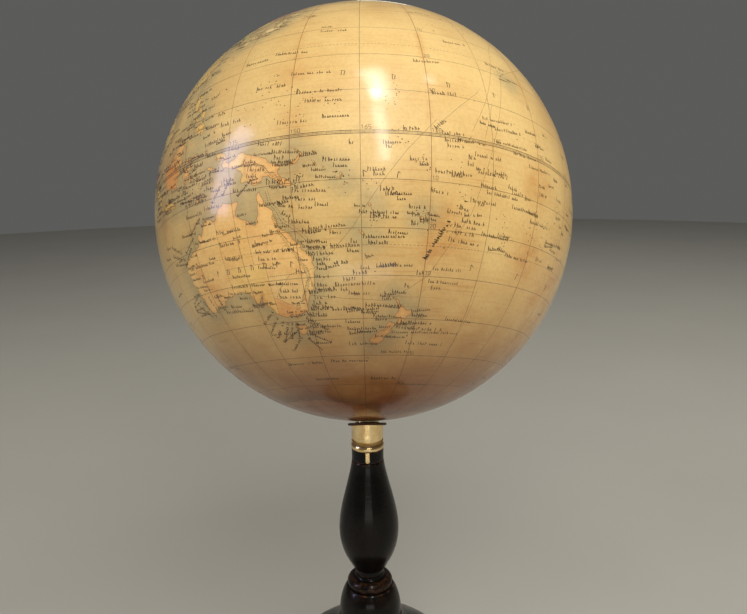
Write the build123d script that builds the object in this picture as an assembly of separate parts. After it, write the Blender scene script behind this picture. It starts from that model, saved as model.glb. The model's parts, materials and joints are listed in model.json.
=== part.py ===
from build123d import *
import os
from math import asin, cos, degrees, radians, sin, sqrt

# Nine-inch terrestrial table globe on a turned stand. Millimetres and degrees.
# The origin is the centre of the foot's underside, +Z is up, and the globe's
# axis leans back towards +Y. Longitude 165 E faces -Y at rest.

# Globe
globe_diameter = 228.6
axis_tilt = 23.5
front_longitude = 165.0
gore_count = 12
paper_thickness = 0.3
plaster_thickness = 2.0
shell_thickness = 3.0
paste_gap = 0.05
calotte_latitude = 80.0
seam_strip_width = 18.0
seam_strip_thickness = 0.6

# Pillar, blocks and bushes inside the globe
pillar_radius = 9.0
pillar_end_gap = 0.4
block_radius = 24.0
block_thickness = 12.0
bush_wall = 1.6
bush_length = 17.0
bush_flange_width = 1.9
bush_flange_thickness = 0.8
nail_count = 4
nail_ring_radius = 16.0
nail_radius = 0.8
nail_head_radius = 2.0
nail_head_thickness = 0.6
nail_length = 11.0

# Spindle and what it carries
spindle_radius = 3.0
spindle_end_step = 0.8
spindle_end_length = 7.0
bend_to_pole = 5.5
bend_radius = 8.0
shank_length = 46.0
running_clearance = 0.06
end_play = 0.1
leather_stand_out = 1.9
leather_thickness = 1.2
nut_washer_radius = 5.2
nut_washer_thickness = 0.8
finial_radius = 4.6
finial_height = 10.5

# Ferrule
ferrule_radius = 8.5
ferrule_bead_stand_out = 0.5
ferrule_bead_height = 4.6
ferrule_groove_depth = 0.6
ferrule_groove_width = 1.3
ferrule_wall = 1.3
ferrule_depth = 13.8
peg_length = 5.2
ferrule_pin_count = 2
ferrule_pin_radius = 0.7
ferrule_pin_length = 4.0

# Column, all heights measured up from the foot's seat
column_height = 101.1
neck_stand_out = 0.1
neck_height = 7.0
vase_radius = 16.4
vase_centre_height = 53.5
vase_foot_radius = 9.4
vase_foot_height = 31.2
waist_radius = 7.9
waist_height = 27.0
collar_radius = 12.6
collar_height = 20.4
bell_radius = 17.3
bell_side_height = 4.0
tenon_radius = 8.0
tenon_length = 22.0

# Foot
foot_height = 58.0
foot_radius = 68.5
foot_seat_radius = 17.9
foot_rim_width = 7.5
foot_dome_height = 10.5
foot_rim_height = 9.6
foot_edge_taper = 1.5
pad_thickness = 1.0
pad_inset = 1.5

# Ballast and screws under the foot
ballast_wall = 15.0
ballast_bore_radius = 14.0
ballast_thickness = 12.0
ballast_clearance = 1.0
ballast_screw_count = 3
ballast_screw_radius = 2.0
ballast_screw_head_radius = 4.0
ballast_screw_length = 22.0
column_screw_radius = 2.6
column_screw_bite = 14.2
column_screw_head_radius = 5.2
column_screw_head_height = 3.2
column_washer_radius = 9.0
column_washer_thickness = 1.2

fit_gap = 0.05

globe_radius = globe_diameter / 2
plaster_radius = globe_radius - paper_thickness - paste_gap
shell_radius = plaster_radius - plaster_thickness - paste_gap
shell_inner_radius = shell_radius - shell_thickness
lining_radius = shell_inner_radius - paste_gap
bush_bore_radius = spindle_radius + running_clearance
bush_radius = spindle_radius + bush_wall
bush_flange_radius = bush_radius + bush_flange_width
pole_hole_radius = bush_radius + fit_gap
# A flat flange of the bush clears the ball's curve at its own hole.
flange_seat = sqrt(globe_radius**2 - pole_hole_radius**2) + fit_gap
flange_face = flange_seat + bush_flange_thickness
leather_top = flange_face + end_play
ferrule_top = leather_top + leather_thickness
spindle_shoulder = flange_face + end_play
spindle_end_radius = spindle_radius - spindle_end_step

leather_radius = ferrule_radius + leather_stand_out
ferrule_bead_radius = ferrule_radius + ferrule_bead_stand_out
neck_radius = ferrule_radius + neck_stand_out
peg_radius = ferrule_radius - ferrule_wall - fit_gap

foot_dome_radius = foot_radius - foot_rim_width
foot_edge_radius = foot_radius - foot_edge_taper
ballast_radius = foot_dome_radius - ballast_wall
ballast_bottom = pad_thickness + ballast_clearance
ballast_top = ballast_bottom + ballast_thickness
ballast_screw_ring_radius = (ballast_bore_radius + ballast_radius) / 2 + 1

seat_height = pad_thickness + foot_height
tenon_bottom = seat_height - tenon_length
# The column's screw hangs from a washer in a counterbore above the ballast.
counterbore_top = ballast_top + column_washer_thickness + column_screw_head_height + fit_gap
column_screw_seat = counterbore_top - column_washer_thickness
column_screw_tip = tenon_bottom + column_screw_bite
column_top = seat_height + column_height
bend_height = column_top + ferrule_depth - bend_to_pole * cos(radians(axis_tilt))
centre_along_axis = bend_to_pole + globe_radius
globe_y = centre_along_axis * sin(radians(axis_tilt))
globe_z = bend_height + centre_along_axis * cos(radians(axis_tilt))

stand_bottom_up = (Align.CENTER, Align.CENTER, Align.MIN)
globe_place = Pos(0, globe_y, globe_z) * Rot(-axis_tilt, 0, 0)


def save(shape, name):
    export_step(shape, f"parts/{name}.step")


def spun(outline, arc=360):
    """Turn a closed outline, drawn as (radius, height), about the Z axis."""
    return revolve(Plane.XZ * make_face(outline), Axis.Z, arc)


def disc(radius, bottom, top):
    return Pos(0, 0, bottom) * Cylinder(radius, top - bottom, align=stand_bottom_up)


def on_ring(shape, count, ring_radius, start=90):
    spots = [Rot(0, 0, start + k * 360 / count) * Pos(ring_radius, 0, 0) for k in range(count)]
    return [spot * shape for spot in spots]


def crown(radius, base, rise):
    """Half of a low dome in an outline: from its edge at the base to its top on the axis."""
    ball = (radius**2 + rise**2) / (2 * abs(rise))
    middle = asin(radius / ball) / 2
    fall = ball * (1 - cos(middle))
    height = base + rise - (fall if rise > 0 else -fall)
    return ThreePointArc((radius, base), (ball * sin(middle), height), (0, base + rise))


def spherical_layer(outer, inner, hole_radius, low_latitude=-90, high_latitude=90, arc=360):
    """A layer of a ball between two latitudes, with a hole on the axis at each pole."""
    ends = []
    for radius in (outer, inner):
        reach = 90 - degrees(asin(hole_radius / radius))
        ends.append((max(low_latitude, -reach), min(high_latitude, reach)))
    points = []
    for radius, (low, high) in zip((outer, inner), ends):
        for latitude in (low, (low + high) / 2, high):
            angle = radians(latitude)
            points.append((radius * cos(angle), radius * sin(angle)))
    outside = ThreePointArc(*points[:3])
    inside = ThreePointArc(*points[3:])
    top = Line(points[2], points[5])
    bottom = Line(points[0], points[3])
    return spun(outside + inside + top + bottom, arc)


# The stand


def foot_outline():
    top = seat_height
    dome_end = pad_thickness + foot_dome_height
    rim_top = pad_thickness + foot_rim_height
    fall = top - dome_end
    spread = foot_dome_radius - foot_seat_radius
    flare = Spline(
        (foot_seat_radius, top - 1.4),
        (foot_seat_radius + 0.15 * spread, top - 0.175 * fall),
        (foot_seat_radius + 0.52 * spread, top - 0.42 * fall),
        (foot_seat_radius + 0.88 * spread, top - 0.76 * fall),
        (foot_dome_radius, dome_end),
        tangents=[(0.3, -1), (0.12, -1)],
    )
    seat = Polyline((0, top), (foot_seat_radius - 0.6, top), (foot_seat_radius, top - 0.6),
                    (foot_seat_radius, top - 1.4))
    step = Polyline((foot_dome_radius, dome_end), (foot_dome_radius, rim_top),
                    (foot_radius - 5.0, rim_top))
    rim = ThreePointArc((foot_radius - 5.0, rim_top), (foot_radius - 0.9, rim_top - 2.1),
                        (foot_radius, rim_top - 5.0))
    edge = Polyline((foot_radius, rim_top - 5.0), (foot_edge_radius, pad_thickness),
                    (0, pad_thickness), (0, top))
    return seat + flare + step + rim + edge


def foot():
    shape = spun(foot_outline())
    shape -= disc(ballast_radius + 0.5, 0, ballast_top)
    shape -= disc(column_washer_radius + 0.5, 0, counterbore_top)
    shape -= disc(column_screw_radius + fit_gap, 0, seat_height)
    shape -= disc(tenon_radius + fit_gap, tenon_bottom - 1.0, seat_height)
    pilot = disc(ballast_screw_radius + fit_gap, 0, ballast_bottom + ballast_screw_length + 1.0)
    for hole in on_ring(pilot, ballast_screw_count, ballast_screw_ring_radius):
        shape -= hole
    return shape


def baize_pad():
    return disc(foot_edge_radius - pad_inset, 0, pad_thickness)


def ballast_screw(gap=0.0):
    """A countersunk wood screw with its head flush with the ballast's underside."""
    bottom = ballast_bottom
    cone_height = ballast_screw_head_radius - ballast_screw_radius
    outline = Polyline(
        (0, bottom), (ballast_screw_head_radius + gap, bottom),
        (ballast_screw_radius + gap, bottom + cone_height),
        (ballast_screw_radius + gap, bottom + ballast_screw_length - 3),
        (0, bottom + ballast_screw_length), (0, bottom),
    )
    return spun(outline)


def ballast_ring():
    shape = disc(ballast_radius, ballast_bottom, ballast_top)
    shape -= disc(ballast_bore_radius, 0, ballast_top + 1)
    for hole in on_ring(ballast_screw(fit_gap), ballast_screw_count, ballast_screw_ring_radius):
        shape -= hole
    return shape


def ballast_screws():
    screws = on_ring(ballast_screw(), ballast_screw_count, ballast_screw_ring_radius)
    return Compound(children=screws)


def column_washer():
    ring = disc(column_washer_radius, column_screw_seat, counterbore_top)
    return ring - disc(column_screw_radius + fit_gap, 0, counterbore_top + 1)


def column_screw():
    """A slotted round-head wood screw that draws the column's tenon down into the foot."""
    seat = column_screw_seat
    tip = column_screw_tip
    head = column_screw_head_radius
    dome = crown(head, seat, -column_screw_head_height)
    sides = Polyline((head, seat), (column_screw_radius, seat),
                     (column_screw_radius, tip - 5), (0, tip),
                     (0, seat - column_screw_head_height))
    shape = spun(dome + sides)
    slot = Pos(0, 0, seat - column_screw_head_height) * Box(2 * head, 1.2, 2.4)
    return shape - slot


def column_outline():
    """The turned outline from the tenon's end up to the peg, as one closed line."""
    base = seat_height
    neck_top = column_top
    taper = column_height - neck_height - vase_centre_height
    cove_low = base + collar_height + 3.6
    lower = Polyline((0, tenon_bottom), (tenon_radius, tenon_bottom), (tenon_radius, base),
                     (bell_radius - 0.4, base))
    side = Spline(
        (bell_radius - 0.4, base),
        (bell_radius, base + bell_side_height),
        (bell_radius - 1.2, base + 0.60 * collar_height),
        (collar_radius + 0.5, base + collar_height - 1.6),
        tangents=[(0.25, 1), (-0.75, 1)],
    )
    quirk = Polyline((collar_radius + 0.5, base + collar_height - 1.6),
                     (collar_radius - 0.7, base + collar_height - 1.1),
                     (collar_radius - 0.3, base + collar_height - 0.6))
    bead = ThreePointArc((collar_radius - 0.3, base + collar_height - 0.6),
                         (collar_radius - 0.1, base + collar_height + 1.6),
                         (waist_radius + 1.6, cove_low + 0.6))
    cove = ThreePointArc((waist_radius + 1.6, cove_low + 0.6),
                         (waist_radius + 0.4, cove_low + 1.1),
                         (waist_radius, base + waist_height))
    shoulder = Polyline((waist_radius, base + waist_height),
                        (waist_radius, base + vase_foot_height - 1.2),
                        (vase_foot_radius - 0.6, base + vase_foot_height - 0.9),
                        (vase_foot_radius, base + vase_foot_height))
    vase = Spline(
        (vase_foot_radius, base + vase_foot_height),
        (vase_foot_radius + 0.58 * (vase_radius - vase_foot_radius),
         base + vase_foot_height + 0.36 * (vase_centre_height - vase_foot_height)),
        (vase_radius, base + vase_centre_height),
        (neck_radius + 0.57 * (vase_radius - neck_radius), neck_top - neck_height - 0.48 * taper),
        (neck_radius + 0.23 * (vase_radius - neck_radius), neck_top - neck_height - 0.22 * taper),
        (neck_radius + 0.1, neck_top - neck_height),
        tangents=[(0.5, 1), (-0.1, 1)],
    )
    ring = Polyline((neck_radius + 0.1, neck_top - neck_height),
                    (neck_radius - 0.35, neck_top - neck_height + 0.5),
                    (neck_radius, neck_top - neck_height + 1.0),
                    (neck_radius, neck_top))
    peg = Polyline((neck_radius, neck_top), (peg_radius, neck_top),
                   (peg_radius, neck_top + peg_length), (0, neck_top + peg_length),
                   (0, tenon_bottom))
    return lower + side + quirk + bead + cove + shoulder + vase + ring + peg


def column():
    shape = spun(column_outline())
    shank_bottom = bend_height - shank_length
    shape -= disc(spindle_radius + fit_gap, shank_bottom - 1.0, column_top + peg_length + 1)
    shape -= disc(column_screw_radius + fit_gap, 0, column_screw_tip + 1.0)
    for hole in ferrule_pin_places(ferrule_pin(fit_gap)):
        shape -= hole
    return shape


def ferrule_outline():
    bottom = column_top + fit_gap
    bead_top = bottom + ferrule_bead_height
    groove_top = bead_top + ferrule_groove_width
    waist = ferrule_radius - ferrule_groove_depth
    # The blank is left tall: the slanted top is cut from it.
    blank_top = column_top + 2 * ferrule_depth
    bead_middle = bottom + 0.30 * ferrule_bead_height
    lip = Polyline((0, bottom), (ferrule_radius - 0.2, bottom))
    roll = ThreePointArc((ferrule_radius - 0.2, bottom), (ferrule_bead_radius, bead_middle),
                         (ferrule_radius, bottom + 0.62 * ferrule_bead_height))
    flute = ThreePointArc((ferrule_radius, bottom + 0.62 * ferrule_bead_height),
                          (waist + 0.2, bottom + 0.80 * ferrule_bead_height),
                          (ferrule_radius, bead_top))
    groove = Polyline((ferrule_radius, bead_top), (waist, bead_top + 0.3),
                      (waist, groove_top - 0.3), (ferrule_radius, groove_top),
                      (ferrule_radius, blank_top), (0, blank_top), (0, bottom))
    return lip + roll + flute + groove


def ferrule():
    shape = spun(ferrule_outline())
    reach = 6 * ferrule_radius
    # Everything above the slanted seat of the leather washer is cut away.
    waste = globe_place * Pos(0, 0, -ferrule_top) * Cylinder(reach, 2 * reach, align=stand_bottom_up)
    shape -= waste
    shape -= disc(ferrule_radius - ferrule_wall, column_top - 1, column_top + peg_length + 2 * fit_gap)
    shape -= bent_rod(spindle_radius + fit_gap, shank_length, 2 * bend_to_pole)
    for hole in ferrule_pin_places(ferrule_pin(fit_gap)):
        shape -= hole
    return shape


def ferrule_pin(gap=0.0):
    """A round-headed brass pin lying along +X, its head just outside the ferrule."""
    radius = ferrule_pin_radius + gap
    head_radius = 1.7 * ferrule_pin_radius + gap
    length = ferrule_pin_length + gap
    outline = Polyline((0, -length), (radius, -length + 0.6), (radius, 0), (head_radius, 0))
    body = spun(outline + crown(head_radius, 0, 0.5) + Line((0, 0.5), (0, -length)))
    return Rot(0, 90, 0) * body


def ferrule_pin_places(pin):
    """The pins stand in the flute above the bead, one at each side."""
    height = column_top + fit_gap + 0.81 * ferrule_bead_height
    waist = ferrule_radius - ferrule_groove_depth
    return on_ring(Pos(0, 0, height) * pin, ferrule_pin_count, waist + 0.25, start=0)


def ferrule_pins():
    return Compound(children=ferrule_pin_places(ferrule_pin()))


def bent_rod(radius, below, along):
    """A round rod: a vertical shank, a bend, and a straight run along the globe's axis."""
    low = (0, 0, bend_height - below)
    bend = (0, 0, bend_height)
    high = (0, along * sin(radians(axis_tilt)), bend_height + along * cos(radians(axis_tilt)))
    path = FilletPolyline(low, bend, high, radius=bend_radius)
    return sweep(Plane(origin=low, z_dir=(0, 0, 1)) * Circle(radius), path=path)


def spindle():
    along = centre_along_axis + spindle_shoulder
    shaft = bent_rod(spindle_radius, shank_length, along)
    end_top = spindle_shoulder + spindle_end_length
    end = globe_place * disc(spindle_end_radius, spindle_shoulder - 1, end_top)
    return shaft + end


def leather_washer():
    ring = disc(leather_radius, -ferrule_top, -leather_top)
    return globe_place * (ring - disc(spindle_radius + fit_gap, -ferrule_top - 1, 0))


def nut_washer():
    top = spindle_shoulder + nut_washer_thickness
    ring = disc(nut_washer_radius, spindle_shoulder, top)
    return globe_place * (ring - disc(spindle_end_radius + fit_gap, 0, top + 1))


def finial():
    """An acorn nut with a blind hole for the spindle's end."""
    low = spindle_shoulder + nut_washer_thickness
    top = low + finial_height
    skirt = Polyline((0, low), (finial_radius, low), (finial_radius, low + 2.4),
                     (0.72 * finial_radius, low + 3.0))
    nut = Spline((0.72 * finial_radius, low + 3.0), (0.90 * finial_radius, low + 5.2),
                 (0.45 * finial_radius, low + 8.6), (0, top), tangents=[(0.6, 1), (-1, 0.15)])
    shape = spun(skirt + nut + Line((0, top), (0, low)))
    shape -= disc(spindle_end_radius + fit_gap, low - 1, spindle_shoulder + spindle_end_length + 0.3)
    return globe_place * shape


# The globe, built about its own centre with its axis along Z and then tilted


def nails(pole, gap=0.0):
    """Flat-headed nails driven towards the centre through the shell into the block."""
    head_top = shell_radius - 0.15
    lean = degrees(asin(nail_ring_radius / shell_radius))
    outline = Polyline(
        (0, head_top + gap), (nail_head_radius + gap, head_top + gap),
        (nail_head_radius + gap, head_top - nail_head_thickness - gap),
        (nail_radius + gap, head_top - nail_head_thickness - gap),
        (nail_radius + gap, head_top - nail_length + 2), (0, head_top - nail_length - gap),
        (0, head_top + gap),
    )
    nail = spun(outline)
    if pole < 0:
        nail = Rot(180, 0, 0) * nail
        lean = -lean
    return [Rot(0, 0, 45 + k * 360 / nail_count) * Rot(0, lean, 0) * nail for k in range(nail_count)]


def shell(pole):
    """One papier-mache half, from the equator to its pole."""
    low, high = (0, 90) if pole > 0 else (-90, 0)
    shape = spherical_layer(shell_radius, shell_inner_radius, pole_hole_radius, low, high)
    shape -= disc(2 * globe_radius, -paste_gap / 2, paste_gap / 2)
    for hole in nails(pole, fit_gap):
        shape -= hole
    return shape


def block(pole):
    """A wooden disc under the pole, domed to the shell, bored for the pillar's end."""
    ball = Sphere(lining_radius)
    inner_face = sqrt(lining_radius**2 - block_radius**2) - block_thickness
    low, high = (inner_face, globe_radius) if pole > 0 else (-globe_radius, -inner_face)
    shape = ball & disc(block_radius, low, high)
    shape -= disc(pillar_radius + fit_gap, low - 1, high + 1)
    for hole in nails(pole, fit_gap):
        shape -= hole
    return shape


def pillar_end():
    return sqrt(lining_radius**2 - pillar_radius**2) - pillar_end_gap


def bush_end():
    return flange_face - bush_length


def pillar():
    end = pillar_end()
    shape = disc(pillar_radius, -end, end)
    shape -= disc(spindle_radius + 0.4, -end - 1, end + 1)
    for low, high in ((bush_end() - 0.3, end + 1), (-end - 1, 0.3 - bush_end())):
        shape -= disc(bush_radius + fit_gap, low, high)
    return shape


def bush(pole):
    tube = disc(bush_radius, bush_end(), flange_face)
    flange = disc(bush_flange_radius, flange_seat, flange_face)
    shape = tube + flange
    shape = chamfer(shape.edges().group_by(Axis.Z)[-1].sort_by(SortBy.RADIUS)[-1], 0.3)
    shape -= disc(bush_bore_radius, bush_end() - 1, flange_face + 1)
    return shape if pole > 0 else Rot(180, 0, 0) * shape


def seam_strip():
    """The strip pasted inside over the joint of the two halves."""
    reach = degrees(asin(seam_strip_width / 2 / lining_radius))
    return spherical_layer(lining_radius, lining_radius - seam_strip_thickness,
                           pole_hole_radius, -reach, reach)


def plaster_coat():
    return spherical_layer(plaster_radius, plaster_radius - plaster_thickness, pole_hole_radius)


def gore(number):
    """One printed paper gore, 30 degrees wide, numbered eastwards from Greenwich."""
    width = 360 / gore_count
    west = (number - 1) * width
    strip = spherical_layer(globe_radius, globe_radius - paper_thickness, pole_hole_radius,
                            -calotte_latitude, calotte_latitude, width)
    return Rot(0, 0, west - front_longitude - 90) * strip


def calotte(pole):
    """The round paper cap that covers the gores' tips at a pole."""
    low, high = (calotte_latitude, 90) if pole > 0 else (-90, -calotte_latitude)
    return spherical_layer(globe_radius, globe_radius - paper_thickness, pole_hole_radius, low, high)


def save_stand():
    save(foot(), "foot")
    save(baize_pad(), "baize_pad")
    save(ballast_ring(), "ballast_ring")
    save(ballast_screws(), "ballast_screws")
    save(column_washer(), "column_washer")
    save(column_screw(), "column_screw")
    save(column(), "column")
    save(ferrule(), "ferrule")
    save(ferrule_pins(), "ferrule_pins")
    save(spindle(), "spindle")
    save(leather_washer(), "leather_washer")
    save(nut_washer(), "nut_washer")
    save(finial(), "finial")


def save_globe():
    for name, pole in (("north", 1), ("south", -1)):
        save(globe_place * shell(pole), f"shell_{name}")
        save(globe_place * block(pole), f"block_{name}")
        save(globe_place * bush(pole), f"bush_{name}")
        save(globe_place * calotte(pole), f"calotte_{name}")
        save(Compound(children=[globe_place * nail for nail in nails(pole)]), f"nails_{name}")
    save(globe_place * pillar(), "pillar")
    save(globe_place * seam_strip(), "seam_strip")
    save(globe_place * plaster_coat(), "plaster_coat")
    for number in range(1, gore_count + 1):
        save(globe_place * gore(number), f"gore_{number:02d}")


os.makedirs("parts", exist_ok=True)
save_stand()
save_globe()
print("pole height", round(column_top + ferrule_depth, 2), "globe centre", round(globe_y, 2),
      round(globe_z, 2), "top", round(globe_z + globe_radius, 2))
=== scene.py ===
import json
import math

import bpy
import numpy as np
from mathutils import Matrix, Vector, kdtree


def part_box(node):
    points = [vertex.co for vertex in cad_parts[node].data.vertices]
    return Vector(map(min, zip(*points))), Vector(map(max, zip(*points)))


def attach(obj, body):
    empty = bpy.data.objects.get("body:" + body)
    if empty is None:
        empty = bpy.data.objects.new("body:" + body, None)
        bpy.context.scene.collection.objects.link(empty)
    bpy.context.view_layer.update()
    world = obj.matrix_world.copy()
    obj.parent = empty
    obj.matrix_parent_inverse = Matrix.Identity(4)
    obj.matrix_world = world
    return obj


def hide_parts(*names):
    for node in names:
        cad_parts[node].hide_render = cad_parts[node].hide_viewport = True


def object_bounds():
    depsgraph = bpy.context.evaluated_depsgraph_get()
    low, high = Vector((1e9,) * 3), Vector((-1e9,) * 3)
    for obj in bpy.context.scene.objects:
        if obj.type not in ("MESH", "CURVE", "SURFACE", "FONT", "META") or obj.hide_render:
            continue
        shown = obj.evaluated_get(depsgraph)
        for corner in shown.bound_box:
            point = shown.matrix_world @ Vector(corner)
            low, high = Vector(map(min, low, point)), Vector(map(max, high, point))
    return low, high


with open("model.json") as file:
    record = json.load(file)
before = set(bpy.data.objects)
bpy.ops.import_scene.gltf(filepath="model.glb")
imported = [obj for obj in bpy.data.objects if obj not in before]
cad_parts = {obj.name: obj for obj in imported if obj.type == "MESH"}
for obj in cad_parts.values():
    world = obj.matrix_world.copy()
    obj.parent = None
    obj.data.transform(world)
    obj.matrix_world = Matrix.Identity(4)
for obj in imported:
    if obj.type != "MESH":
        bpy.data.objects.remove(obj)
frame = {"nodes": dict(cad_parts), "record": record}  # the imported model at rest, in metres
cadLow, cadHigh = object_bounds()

chance = np.random.default_rng(1897)
print("stage 1: frame loaded,", len(frame["nodes"]), "nodes")


# helpers

def placed(name, data):
    made = bpy.data.objects.new(name, data)
    bpy.context.scene.collection.objects.link(made)
    return made


def tone(red, green, blue):
    linear = [((c / 255 + 0.055) / 1.055) ** 2.4 if c > 10 else c / 255 / 12.92
              for c in (red, green, blue)]
    return (*linear, 1.0)


def addNode(tree, kind, inputs=None, **settings):
    made = tree.nodes.new(kind)
    for key, value in settings.items():
        setattr(made, key, value)
    for key, value in (inputs or {}).items():
        if isinstance(value, bpy.types.NodeSocket):
            tree.links.new(value, made.inputs[key])
        else:
            made.inputs[key].default_value = value
    return made


def maths(tree, operation, *values):
    return addNode(tree, "ShaderNodeMath", dict(enumerate(values)), operation=operation).outputs[0]


def times(tree, first, second):
    return maths(tree, "MULTIPLY", first, second)


def ramp(tree, value, low, high, outLow=0.0, outHigh=1.0):
    inputs = {"Value": value, "From Min": low, "From Max": high, "To Min": outLow,
              "To Max": outHigh}
    return addNode(tree, "ShaderNodeMapRange", inputs, interpolation_type="SMOOTHSTEP").outputs[0]


def blended(tree, factor, first, second, mode="MIX"):
    inputs = {0: factor, 6: first, 7: second}
    return addNode(tree, "ShaderNodeMix", inputs, data_type="RGBA", blend_type=mode).outputs[2]


def stretched(tree, place, x, y, z):
    return addNode(tree, "ShaderNodeMapping", {"Vector": place, "Scale": (x, y, z)}).outputs[0]


def grain(tree, place, scale, detail=4.0, roughness=0.55):
    inputs = {"Vector": place, "Scale": scale, "Detail": detail, "Roughness": roughness}
    return addNode(tree, "ShaderNodeTexNoise", inputs).outputs["Fac"]


def carried(tree, name, colour=False):
    made = addNode(tree, "ShaderNodeAttribute", attribute_name=name)
    return made.outputs["Color" if colour else "Fac"]


def bumped(tree, height, distance):
    inputs = {"Height": height, "Distance": distance, "Strength": 1.0}
    return addNode(tree, "ShaderNodeBump", inputs).outputs["Normal"]


def newFinish(name, **fixed):
    finish = bpy.data.materials.new(name)
    finish.use_nodes = True
    tree = finish.node_tree
    tree.nodes.clear()
    shader = tree.nodes.new("ShaderNodeBsdfPrincipled")
    for socket, value in fixed.items():
        shader.inputs[socket.replace("_", " ")].default_value = value
    tree.links.new(shader.outputs[0], tree.nodes.new("ShaderNodeOutputMaterial").inputs[0])
    place = addNode(tree, "ShaderNodeTexCoord").outputs["Object"]
    return finish, tree, shader, place


def wire(tree, shader, **links):
    for socket, source in links.items():
        tree.links.new(source, shader.inputs[socket.replace("_", " ")])


# the globe's own frame: longitude and latitude in degrees

spin = frame["record"]["behaviour"]["joints"][0]
globe = {
    "centre": np.array(spin["pos_m"]),
    "axis": np.array(spin["axis"]),
    "radius": (cadHigh.x - cadLow.x) / 2,
    "frontLongitude": 165.0,
    "ripple": 0.000035,  # how far the pasted paper rises and falls
}
globe["front"] = np.array([0.0, -globe["axis"][2], globe["axis"][1]])
globe["east"] = np.array([1.0, 0.0, 0.0])
rippleWaves = chance.normal(0, 15, (9, 3))
ripplePhases = chance.uniform(0, 6.28, 9)


def onGlobe(longitude, latitude, lift=0.0):
    turn = np.radians(np.asarray(longitude, float) - globe["frontLongitude"])
    height = np.radians(np.asarray(latitude, float))
    local = np.stack([np.cos(height) * np.sin(turn), np.cos(height) * np.cos(turn), np.sin(height)],
                     -1)
    ripple = np.sin(local @ rippleWaves.T + ripplePhases).mean(-1) * 3 * globe["ripple"]
    outward = local @ np.stack([globe["east"], globe["front"], globe["axis"]])
    return globe["centre"] + outward * (globe["radius"] + ripple + lift)[..., None]


# coastlines, as pairs of longitude and latitude, each one closed

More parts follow.
